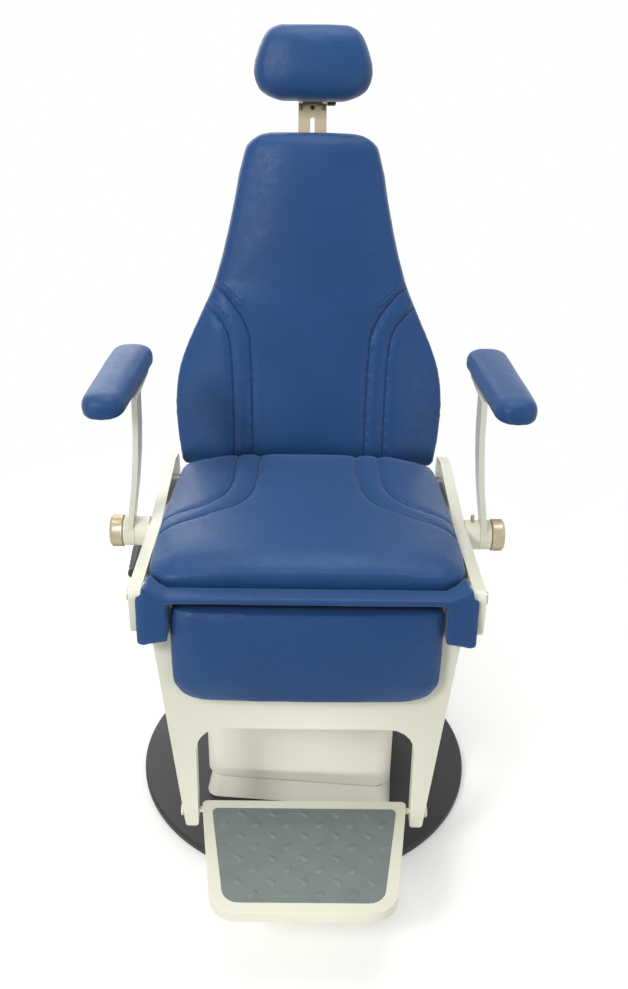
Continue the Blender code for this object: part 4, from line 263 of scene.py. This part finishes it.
# Black enamel, sprayed and baked: half gloss, with a faint peel, a little brown where it is thin.
black_enamel = sprayed("black_enamel", ("#161619", "#242024"), gloss=(0.36, 0.50),
                       peel=0.0035, peel_height=0.00005)
# Black rubber, moulded: matt, with a fine tooth.
black_rubber = sprayed("moulded_black_rubber", ("#191919", "#232322"), gloss=(0.68, 0.82),
                       peel=0.002, peel_height=0.0001)
# Black nylon, moulded: dull gloss, finely grained.
black_nylon = sprayed("moulded_black_nylon", ("#191918", "#242422"), gloss=(0.40, 0.52),
                      peel=0.0018, peel_height=0.00006)
# Grey-white ABS, moulded against a finely eroded tool: satin, with an even fine grain.
white_abs = sprayed("moulded_white_abs", ("#E4E0D2", "#EAE7DA"), gloss=(0.42, 0.54),
                    peel=0.0025, peel_height=0.00006)

coat_nodes(black_rubber, "base_mat")
plate_low, plate_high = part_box("base_plate")
plate_radius, rim, chamfer, plate_steps = plate_high.x, 0.005, 0.001, 160
ring = plate_radius * 0.6  # halves the long faces of the flat top
rim_arc = [(plate_radius - rim + rim * math.sin(math.radians(a)),
            plate_high.z - rim + rim * math.cos(math.radians(a))) for a in range(0, 91, 15)]
set_piece(turned([(0, plate_high.z), (ring, plate_high.z)] + rim_arc
                 + [(plate_radius, plate_low.z + chamfer), (plate_radius - chamfer, plate_low.z),
                    (0, plate_low.z)], plate_steps),
          "base_disc", "base", "black_paint", black_enamel, "base_plate")
set_piece(rolled("base_plinth", 0.0008), "column_skirt", "base", "cover_abs", white_abs,
          "base_plinth")
set_piece(rolled("cable_gland", 0.0006), "mains_gland", "base", "black_plastic", black_nylon,
          "cable_gland")


# Lifting column. Two steel tubes slide in each other round a motor-driven spindle, inside two
# telescoping covers of moulded ABS that are screwed to the skirt and to the head plate.
def screw_heads(name, body, slot, material, node, spots, outward, radius=0.0045, steps=20):
    """Button-head screws in the face of a node, each at a spot seen against `outward`."""
    socket_and_dome = ((0, 0.2), (0.40, 0.2), (0.45, 0.5), (0.80, 0.38), (1, 0.1), (1, -0.2),
                       (0, -0.2))
    profile = [(radius * out, radius * up) for out, up in socket_and_dome]
    solid = solid_of(node)
    faces = BVHTree.FromBMesh(solid)
    solid.free()
    turn = outward.to_track_quat("Z", "Y").to_matrix().to_4x4()
    screws = bmesh.new()
    lump = bpy.data.meshes.new("screw")
    for spot in spots:
        seat = faces.ray_cast(Vector(spot) + outward, -outward)[0]
        head = turned(profile, steps)
        bmesh.ops.transform(head, verts=head.verts, matrix=Matrix.Translation(seat) @ turn)
        head.to_mesh(lump)
        head.free()
        screws.from_mesh(lump)
    bpy.data.meshes.remove(lump)
    set_piece(screws, name, body, slot, material)


def tooled(name, tones, gloss, marks):
    """Bare metal with fine marks of its tool: streaks of two tones and of gloss."""
    metal, tree, shader, where = new_finish(name, {"Metallic": 1})
    drawn_out = add_node(tree, "Mapping", {"Vector": where, "Scale": marks})
    lines = add_node(tree, "TexNoise", {"Vector": drawn_out.outputs[0], "Scale": 1, "Detail": 2})
    tone = add_node(tree, "Mix", {0: lines.outputs["Fac"], 6: linear(tones[0]),
                                  7: linear(tones[1])}, data_type="RGBA")
    tree.links.new(tone.outputs[2], shader.inputs["Base Color"])
    rough = add_node(tree, "MapRange", {"Value": lines.outputs["Fac"], "To Min": gloss[0],
                                        "To Max": gloss[1]})
    tree.links.new(rough.outputs[0], shader.inputs["Roughness"])
    return metal


# Ground steel: a cool grey metal. Its marks lie 1.4 mm apart, drawn coarser than real ones so
# that they show, and are about 33 mm long.
steel = tooled("ground_steel", ("#8A8B8C", "#A3A4A4"), gloss=(0.26, 0.42), marks=(30, 30, 700))

set_piece(rolled("lower_cover", 0.0008), "lower_column_cover", "base", "cover_abs", white_abs,
          "lower_cover")
set_piece(rolled("upper_cover", 0.0008), "upper_column_cover", "lift", "cover_abs", white_abs,
          "upper_cover")
screw_height = 0.384
side_screws = [(0, along, screw_height) for along in (-0.09, 0.09)]
rear_screws = [(across, 0, screw_height) for across in (-0.11, 0.11)]
for name, outward, spots in (("left", Vector((-1, 0, 0)), side_screws),
                             ("right", Vector((1, 0, 0)), side_screws),
                             ("rear", Vector((0, 1, 0)), rear_screws)):
    screw_heads("cover_screws_" + name, "lift", "steel", steel, "upper_cover", spots, outward)
coat_nodes(steel, "guide_tube", "sliding_tube", "lift_cylinder", "lift_rod", "head_plate",
           "swivel_race_lower")
coat_nodes(black_enamel, "lift_motor")


# Swivel and chassis. The upper race turns on the lower one; the folded steel chassis on it
# carries two rails, the seat's birch board and, at each side, a cream-enamelled steel frame.

# Cream enamel, powder-coated on steel: a warm white half gloss with a soft orange peel.
cream_enamel = sprayed("cream_powder_enamel", ("#E4E3CF", "#EAE9D8"), gloss=(0.26, 0.38),
                       peel=0.0032, peel_height=0.00006)

# Birch plywood: pale, with soft grain across the board, 7 mm wide and 110 mm long.
plywood, tree, shader, where = new_finish("birch_plywood", {"Roughness": 0.6, "IOR": 1.5})
along = add_node(tree, "Mapping", {"Vector": where, "Scale": (6, 90, 90)})
grain = add_node(tree, "TexNoise", {"Vector": along.outputs[0], "Scale": 1.5, "Detail": 5,
                                    "Distortion": 0.6})
tone = add_node(tree, "Mix", {0: grain.outputs["Fac"], 6: linear("#B08D5E"),
                              7: linear("#D8BC8E")}, data_type="RGBA")
tree.links.new(tone.outputs[2], shader.inputs["Base Color"])
fibre = add_node(tree, "Bump", {"Height": grain.outputs["Fac"], "Distance": 0.0002})
tree.links.new(fibre.outputs[0], shader.inputs["Normal"])

coat_nodes(steel, "swivel_race_upper")
set_piece(rolled("seat_chassis", 0.0012), "chassis", "seat", "black_paint", black_enamel,
          "seat_chassis")
coat_nodes(plywood, "seat_board")

# Champagne nickel on steel: a warm pale metal, satin, with brush marks 2 mm apart, drawn coarser
# than real ones so that they show, and about 17 mm long.
nickel = tooled("champagne_nickel", ("#AFA286", "#C0B59C"), gloss=(0.28, 0.44), marks=(60, 60, 500))

bolt_radius = 0.007
bolt_spots = [(0, along, 0.478) for along in (-0.125, 0.115)]
for side, way in (("left", -1), ("right", 1)):
    set_piece(rolled("side_frame_" + side, 0.0012), "side_cheek_" + side, "seat", "cream_paint",
              cream_enamel, "side_frame_" + side)
    screw_heads("cheek_bolts_" + side, "seat", "nickel", nickel, "side_frame_" + side,
                bolt_spots, Vector((way, 0, 0)), bolt_radius)
    set_piece(rolled("legrest_pin_" + side, 0.0008), "legrest_hinge_pin_" + side, "seat", "nickel",
              nickel, "legrest_pin_" + side)


# Recline drive. A motor with a screw spindle under the seat pushes a crank on the backrest's
# shaft; a flat link beside it makes the leg rest rise as the back goes down.
set_piece(rolled("recline_actuator", 0.0015), "recline_motor", "seat", "black_paint", black_enamel,
          "recline_actuator")
for node, name, body in (("actuator_rod", "recline_spindle", "recline_rod"),
                         ("actuator_crank", "spindle_crank", "backrest"),
                         ("link_crank", "back_link_crank", "backrest"),
                         ("legrest_crank", "leg_link_crank", "legrest"),
                         ("link_rod", "leg_link", "link"),
                         ("recline_shaft", "back_shaft", "backrest")):
    set_piece(rolled(node, 0.0006), name, body, "steel", steel, node)


# Seat cushion. Moulded foam on the board under a tight leatherette cover, with two sewn
# channels at each side that run forward from the back and curve out to the side edges.
def even_out(points, edges, passes, share, steps=(0.5, -0.52)):
    """Smooths points over a mesh's edges; the backward step keeps the shape from shrinking."""
    ends = np.concatenate([edges, edges[:, ::-1]])
    count = np.bincount(ends[:, 0], minlength=len(points))[:, None]
    for step in steps * passes:
        mean = np.zeros_like(points)
        np.add.at(mean, ends[:, 0], points[ends[:, 1]])
        points = points + step * share * (mean / count - points)
    return points


def distance_to(path, points):
    """How far each (across, along) point lies from a path of straight steps."""
    nearest = np.full(len(points), 1e9)
    for a, b in zip(path, path[1:]):
        step = b - a
        t = np.clip((points - a) @ step / (step @ step), 0, 1)
        nearest = np.minimum(nearest, np.linalg.norm(points - a - t[:, None] * step, axis=1))
    return nearest


def stuffed(node, across, along, out, voxel, swell, seams=(), hold=0.6, soften=6,
            smooth_face=24, proud=0.0025, pressure=4, frames=20, ripple=0.0005, ripples=17):
    """Foam under a tight cover: a node's shape, softened, and its crowned face blown up.

    The cover is held where the face looks less than `hold` along `out`, and along the seams.
    It swells by `swell` at most, stays within `proud` of the solid, and ripples faintly.
    """
    bm = solid_of(node)
    solid = BVHTree.FromBMesh(bm)
    mesh = bpy.data.meshes.new(node + "_foam")
    bm.to_mesh(mesh)
    bm.free()
    pad = bpy.data.objects.new(node + "_foam", mesh)
    scene.collection.objects.link(pad)

    def apply():
        shaped = bpy.data.meshes.new_from_object(
            pad.evaluated_get(bpy.context.evaluated_depsgraph_get()))
        pad.modifiers.clear()
        pad.data = shaped

    def read(rows, field, width=3, kind=float):
        values = np.empty(len(rows) * width, kind)
        rows.foreach_get(field, values)
        return values.reshape(-1, width)

    remesh = pad.modifiers.new("remesh", "REMESH")
    remesh.mode = "VOXEL"
    remesh.voxel_size = voxel
    apply()
    edges = read(pad.data.edges, "vertices", 2, int)
    start = even_out(read(pad.data.vertices, "co"), edges, soften, 1)
    facing = read(pad.data.vertex_normals, "vector") @ np.array(out)
    start = even_out(start, edges, smooth_face, np.clip(facing * 2 - 0.2, 0, 1)[:, None], (0.5,))
    flat = np.stack([start @ np.array(across), start @ np.array(along)], axis=1)
    sewn = np.min([distance_to(path, flat) for path, _, _ in seams] or [[1]], axis=0) < voxel * 0.8
    free = (facing > hold) & ~sewn
    start -= np.outer(np.where(free, swell / 4, 0), np.array(out))
    pad.data.vertices.foreach_set("co", start.ravel())
    pad.data.update()
    pins = pad.vertex_groups.new(name="held")
    pins.add(np.flatnonzero(~free).tolist(), 1.0, "REPLACE")
    cloth = pad.modifiers.new("cover", "CLOTH")
    cloth.settings.vertex_group_mass = "held"
    cloth.settings.quality = 5
    cloth.settings.use_pressure = True
    cloth.settings.uniform_pressure_force = pressure
    cloth.settings.effector_weights.gravity = 0
    for step in range(1, frames + 1):
        scene.frame_set(step)
    apply()
    scene.frame_set(1)
    move = read(pad.data.vertices, "co") - start
    length = np.maximum(np.linalg.norm(move, axis=1), 1e-9)[:, None]
    move *= np.minimum(swell / length, 1)
    start = start + even_out(move, edges, 6, 1, (0.5,))
    for vert, point in zip(pad.data.vertices, start):
        vert.co = point
        near, normal, _, gap = solid.find_nearest(vert.co)
        if gap > proud and (vert.co - near).dot(normal) > 0:
            vert.co = near + (vert.co - near) * (proud / gap)
    finer = pad.modifiers.new("finer", "SUBSURF")
    finer.levels = finer.render_levels = 1
    apply()
    bm = bmesh.new()
    bm.from_mesh(pad.data)
    bm.normal_update()
    bpy.data.objects.remove(pad)
    if seams:
        sew(bm, across, along, out, seams)
    for vert in bm.verts:
        vert.co += vert.normal * (noise.noise(vert.co * ripples) * ripple)
    return bm


def sew(bm, across, along, out, seams):
    """Pulls a cover in along its seams: a sharp crease between full, round shoulders."""
    def reach():
        flat = np.array([(v.co.dot(across), v.co.dot(along)) for v in bm.verts])
        return [1 - distance_to(path, flat) / half_width for path, _, half_width in seams]

    near = np.max(reach(), axis=0) > -0.3
    bm.verts.ensure_lookup_table()
    fine = [e for e in bm.edges if all(near[v.index] and v.normal.dot(out) > 0 for v in e.verts)]
    bmesh.ops.subdivide_edges(bm, edges=fine, cuts=1, use_grid_fill=True)
    bm.normal_update()
    sunk = np.zeros(len(bm.verts))
    for (_, depth, _), inside in zip(seams, reach()):
        inside = np.clip(inside, 0, 1)
        sunk = np.maximum(sunk, depth * (1 - np.sqrt(1 - inside * inside)))
    for vert, down in zip(list(bm.verts), sunk):
        facing = min(max(vert.normal.dot(out) / 0.5, 0), 1)
        vert.co -= out * (down * facing * facing * (3 - 2 * facing))


def both_sides(*lines):
    """Seams for both sides of a pad, from the points of one side, its depth and half width."""
    return [(np.array(points) * (side, 1), depth, half) for points, depth, half in lines
            for side in (1, -1)]


# Blue leatherette, vinyl on knitted cloth: a fine pebble grain, drawn three times as coarse as the
# real 1 mm so that it shows, and a soft satin gloss. The grain's hollows get painted shade, a
# slightly deeper blue.
leatherette, tree, shader, where = new_finish("blue_leatherette", {
    "IOR": 1.5, "Specular IOR Level": 0.22, "Sheen Weight": 0.3, "Sheen Roughness": 0.5,
    "Sheen Tint": linear("#C4D6EE")})
pebble = add_node(tree, "TexVoronoi", {"Vector": where, "Scale": 1 / 0.003, "Smoothness": 0.6},
                  feature="SMOOTH_F1")
crease = add_node(tree, "TexNoise", {"Vector": where, "Scale": 1 / 0.012, "Detail": 4,
                                     "Roughness": 0.6})
cloud = add_node(tree, "TexNoise", {"Vector": where, "Scale": 1 / 0.16, "Detail": 2})
tone = add_node(tree, "Mix", {0: cloud.outputs["Fac"], 6: linear("#1B4071"),
                              7: linear("#235086")}, data_type="RGBA")
# Painted shade: the grain's hollows are mixed towards a darker blue, #143159.
hollow_shade_amount = add_node(tree, "MapRange", {"Value": pebble.outputs["Distance"], "From Min": 0.2,
                                   "From Max": 0.9, "To Min": 0, "To Max": 0.35})
tone_and_painted_shade = add_node(tree, "Mix", {0: hollow_shade_amount.outputs[0], 6: tone.outputs[2], 7: linear("#143159")},
                  data_type="RGBA")
tree.links.new(tone_and_painted_shade.outputs[2], shader.inputs["Base Color"])
rough = add_node(tree, "MapRange", {"Value": crease.outputs["Fac"], "From Min": 0.3,
                                    "From Max": 0.7, "To Min": 0.36, "To Max": 0.5})
tree.links.new(rough.outputs[0], shader.inputs["Roughness"])
grain = add_node(tree, "Bump", {"Height": pebble.outputs["Distance"], "Distance": 0.00025,
                                "Strength": 0.6}, invert=True)
wrinkle = add_node(tree, "Bump", {"Height": crease.outputs["Fac"], "Distance": 0.0006,
                                  "Strength": 0.5, "Normal": grain.outputs[0]})
tree.links.new(wrinkle.outputs[0], shader.inputs["Normal"])

X, Y, Z = Vector((1, 0, 0)), Vector((0, 1, 0)), Vector((0, 0, 1))
channel = (0.0075, 0.013)  # depth and half width
seat_seams = both_sides(
    (((0.088, 0.18), (0.088, 0.058), (0.092, 0.008), (0.100, -0.0235), (0.110, -0.044),
      (0.126, -0.060), (0.148, -0.075), (0.165, -0.085), (0.195, -0.102), (0.25, -0.131)),
     *channel),
    (((0.128, 0.18), (0.129, 0.040), (0.135, 0.002), (0.147, -0.027), (0.168, -0.051),
      (0.190, -0.062), (0.25, -0.085)), *channel))
bm = stuffed("seat_cushion", X, Y, Z, voxel=0.005, swell=0.008, seams=seat_seams)
seat_pad = set_piece(bm, "seat_upholstery", "seat", "blue_vinyl", leatherette, "seat_cushion")


# Backrest. A tapered foam cushion on a birch board between two steel arms on the recline shaft,
# with two sewn channels at each side that rise and flare out; a cream shell covers its rear.
back_pivot, back_tilt = Vector((0, 0.185, 0.515)), math.radians(13)
back_up = Vector((0, math.sin(back_tilt), math.cos(back_tilt)))
back_rear = Vector((0, math.cos(back_tilt), -math.sin(back_tilt)))
pivot_up = back_pivot.dot(back_up)
crease_line = (0.003, 0.006)  # depth and half width of the creases above the channels' bends
back_seams = [(path + (0, pivot_up), depth, half) for path, depth, half in both_sides(
    (((0.104, 0.01), (0.105, 0.146), (0.107, 0.220), (0.110, 0.274), (0.117, 0.296),
      (0.127, 0.315), (0.141, 0.334), (0.158, 0.353), (0.174, 0.364), (0.21, 0.384)),
     *channel),
    (((0.138, 0.01), (0.140, 0.146), (0.142, 0.220), (0.1455, 0.257), (0.149, 0.279),
      (0.1585, 0.298), (0.173, 0.314), (0.191, 0.3285), (0.23, 0.354)), *channel),
    (((0.127, 0.339), (0.141, 0.353), (0.158, 0.367), (0.177, 0.376), (0.21, 0.391)),
     *crease_line),
    (((0.156, 0.315), (0.170, 0.329), (0.1895, 0.340), (0.23, 0.364)), *crease_line))]
bm = stuffed("back_cushion", X, back_up, -back_rear, voxel=0.005, swell=0.008, seams=back_seams)
back_pad = set_piece(bm, "back_upholstery", "backrest", "blue_vinyl", leatherette, "back_cushion")
coat_nodes(plywood, "backrest_board")
set_piece(rolled("rear_cover", 0.0015), "back_shell", "backrest", "cream_paint", cream_enamel,
          "rear_cover")
shell_spots = [back_pivot + X * side * across + back_up * up for side in (-1, 1)
               for across, up in ((0.166, 0.072), (0.137, 0.330), (0.088, 0.548))]
screw_heads("shell_screws", "backrest", "nickel", nickel, "rear_cover", shell_spots, back_rear,
            radius=0.005)
for side in ("left", "right"):
    set_piece(rolled("backrest_arm_" + side, 0.0008), "back_arm_" + side, "backrest",
              "cream_paint", cream_enamel, "backrest_arm_" + side)
set_piece(rolled("headrest_guide", 0.0008), "stem_guide", "backrest", "steel", steel,
          "headrest_guide")
set_piece(rolled("headrest_clamp_knob", 0.0015), "stem_clamp_knob", "clamp_knob",
          "black_plastic", black_nylon, "headrest_clamp_knob")


# Headrest. A foam pillow on a steel bracket that tilts on top of a slotted flat stem; the stem
# slides in the guide behind the back and the black knob at the right locks the tilt.
set_piece(rolled("headrest_stem", 0.0008), "slotted_stem", "headrest_post", "nickel", nickel,
          "headrest_stem")
set_piece(rolled("headrest_bracket", 0.0008), "tilt_bracket", "headrest", "steel", nickel,
          "headrest_bracket")
pillow_spots = [back_pivot + X * across + back_up * up for across in (-0.043, 0.043)
                for up in (0.722, 0.763)]
screw_heads("pillow_screws", "headrest", "nickel", nickel, "headrest_bracket", pillow_spots,
            back_rear, radius=0.0035)
stem_spot = back_pivot + back_up * 0.680
screw_heads("stem_screw", "headrest_post", "black_paint", black_enamel, "headrest_stem",
            [stem_spot], -back_rear, radius=0.004)
set_piece(rolled("headrest_lock_knob", 0.001), "tilt_knob", "lock_knob", "black_plastic",
          black_nylon, "headrest_lock_knob")
bm = stuffed("head_pad", X, back_up, -back_rear, voxel=0.004, swell=0.005, hold=0.2,
             smooth_face=10)
head_pillow = set_piece(bm, "head_upholstery", "headrest", "blue_vinyl", leatherette, "head_pad")


# Leg rest. A welded, cream-enamelled frame hangs from the side frames' noses; a calf pad and,
# over the hinge, a padded leatherette apron with a wing at each side are screwed to it; the
# apron's lining is tucked behind the calf pad.
leg_tilt = math.radians(5)
leg_rear = Vector((0, math.cos(leg_tilt), -math.sin(leg_tilt)))
set_piece(rolled("leg_frame", 0.0012), "leg_weldment", "legrest", "cream_paint", cream_enamel,
          "leg_frame")
bm = stuffed("calf_pad", X, Z, -leg_rear, voxel=0.0045, swell=0.006)
calf = set_piece(bm, "calf_upholstery", "legrest", "blue_vinyl", leatherette, "calf_pad")
bm = stuffed("legrest_apron", X, Z, -leg_rear, voxel=0.003, swell=0.003, hold=0.3, soften=3,
             smooth_face=2)
apron = set_piece(bm, "apron_upholstery", "legrest", "blue_vinyl", leatherette, "legrest_apron")
lining_size, lining_place, lining_edge = (0.408, 0.002, 0.039), (0, -0.2625, 0.5315), 0.0005
bm = bmesh.new()
bmesh.ops.create_cube(bm, size=1)
bmesh.ops.scale(bm, verts=bm.verts, vec=lining_size)
bmesh.ops.bevel(bm, geom=bm.edges[:], offset=lining_edge, offset_type="OFFSET", segments=2,
                profile=0.5, affect="EDGES", clamp_overlap=True, material=-1)
bmesh.ops.transform(bm, verts=bm.verts, matrix=Matrix.Translation(lining_place)
                    @ Matrix.Rotation(-leg_tilt, 4, "X"))
set_piece(bm, "apron_lining", "legrest", "blue_vinyl", leatherette)


# Footplate. A pressed steel tray in cream enamel that folds on two pins between the legs, with
# a moulded grey rubber mat let into it that has rows of raised drop-shaped studs.

# Grey tread rubber, moulded: matt, mottled with dust.
tread_rubber = sprayed("moulded_grey_rubber", ("#6A7371", "#7C8683"), gloss=(0.52, 0.7),
                       peel=0.002, peel_height=0.0001, patch=0.03)
set_piece(rolled("footplate_tray", 0.0015, 3), "footplate_pan", "footplate", "cream_paint",
          cream_enamel, "footplate_tray")
for side in ("left", "right"):
    set_piece(rolled("footplate_pin_" + side, 0.0006), "footplate_hinge_pin_" + side, "legrest",
              "cream_paint", cream_enamel, "footplate_pin_" + side)
mat_low, mat_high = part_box("footplate_mat")
stud_apart, stud_rows, stud_size = 0.051, 0.023, (0.0085, 0.005, 0.0016)
stud_taper, stud_turns = 0.45, (145, 35)  # a drop's narrowing; its turn in alternate rows
first_row = 0.55  # rows from the mat's rear edge to the first studs
stud_room = [(0.010, 0), (-0.010, 0), (0, 0.008), (0, -0.008)]  # the mat has to reach this far
ray_start = 0.01  # above the mat
mat = rolled("footplate_mat", 0.0005)
mat_solid = BVHTree.FromBMesh(mat)
lump = bpy.data.meshes.new("stud")
for row in range(int((mat_high.y - mat_low.y) / stud_rows) + 1):
    for column in range(-4, 5):
        spot = Vector(((column + row % 2 / 2) * stud_apart,
                       mat_high.y - (row + first_row) * stud_rows, mat_high.z + ray_start))
        if not all(mat_solid.ray_cast(spot + Vector((x, y, 0)), -Z)[0] for x, y in stud_room):
            continue
        stud = bmesh.new()
        bmesh.ops.create_uvsphere(stud, u_segments=12, v_segments=8, radius=1)
        for vert in stud.verts:
            vert.co.y *= 1 - stud_taper * vert.co.x
        bmesh.ops.scale(stud, verts=stud.verts, vec=stud_size)
        bmesh.ops.rotate(stud, verts=stud.verts, cent=(0, 0, 0),
                         matrix=Matrix.Rotation(math.radians(stud_turns[row % 2]), 3, "Z"))
        bmesh.ops.translate(stud, verts=stud.verts, vec=(spot.x, spot.y, mat_high.z))
        stud.to_mesh(lump)
        stud.free()
        mat.from_mesh(lump)
bpy.data.meshes.remove(lump)
set_piece(mat, "tread_mat", "footplate", "tread_rubber", tread_rubber, "footplate_mat")


# Armrests. A padded rest on a curved flat-bar post that flips back on a hub on the side frame;
# a turned, knurled clamping knob of nickelled steel holds it.
def arm_knob(side, way):
    """The clamping knob: a turned cylinder with chamfers and a knurled grip."""
    low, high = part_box("arm_knob_" + side)
    radius, length = (high.z - low.z) / 2, high.x - low.x
    bore, depth = 0.0085, 0.017  # for the hub's pin
    inner_edge, outer_edge, dish, sunk = 0.002, 0.003, 0.018, 0.0008
    grip_start, grip_end, near = 0.004, length - 0.005, 0.001
    ribs, groove = 48, 0.972
    bm = turned([(0, depth), (bore, depth), (bore, 0), (radius - inner_edge, 0),
                 (radius, inner_edge), (radius, grip_start), (radius, grip_end),
                 (radius, length - outer_edge), (radius - outer_edge, length), (dish, length),
                 (dish - sunk, length - sunk), (0, length - sunk)], ribs * 2)
    for vert in bm.verts:
        outside = math.hypot(vert.co.x, vert.co.y) > radius * 0.9
        if outside and grip_start - near < vert.co.z < grip_end + near:
            turn = round(math.atan2(vert.co.y, vert.co.x) / math.tau * ribs * 2)
            if turn % 2:
                vert.co.x *= groove
                vert.co.y *= groove
    bmesh.ops.rotate(bm, verts=bm.verts, cent=(0, 0, 0),
                     matrix=Matrix.Rotation(way * math.pi / 2, 3, "Y"))
    start = low.x if way > 0 else high.x
    bmesh.ops.translate(bm, verts=bm.verts, vec=(start, (low.y + high.y) / 2, (low.z + high.z) / 2))
    set_piece(bm, "arm_clamp_knob_" + side, "arm_knob_" + side, "nickel", nickel,
              "arm_knob_" + side)


for side, way in (("left", -1), ("right", 1)):
    set_piece(rolled("arm_hub_" + side, 0.0008), "arm_pivot_hub_" + side, "seat", "cream_paint",
              cream_enamel, "arm_hub_" + side)
    set_piece(rolled("arm_post_" + side, 0.001), "arm_bar_" + side, "arm_" + side, "cream_paint",
              cream_enamel, "arm_post_" + side)
    arm_knob(side, way)
    bm = stuffed("arm_pad_" + side, X, Y, Z, voxel=0.004, swell=0.004, hold=0.2, smooth_face=6)
    arm_rest = set_piece(bm, "arm_upholstery_" + side, "arm_" + side, "blue_vinyl", leatherette,
                         "arm_pad_" + side)
set_piece(rolled("arm_stop_pin", 0.0005), "arm_stop", "seat", "nickel", nickel, "arm_stop_pin")


# Swivel lock. A bent steel lever that turns in the chassis, under the left side frame, with a
# tapered, ribbed grip of moulded nylon pushed on its end.
set_piece(rolled("lock_lever", 0.0008), "swivel_lever", "lock_lever", "steel", steel, "lock_lever")
set_piece(rolled("lock_grip", 0.0008), "swivel_grip", "lock_lever", "black_plastic", black_nylon,
          "lock_grip")
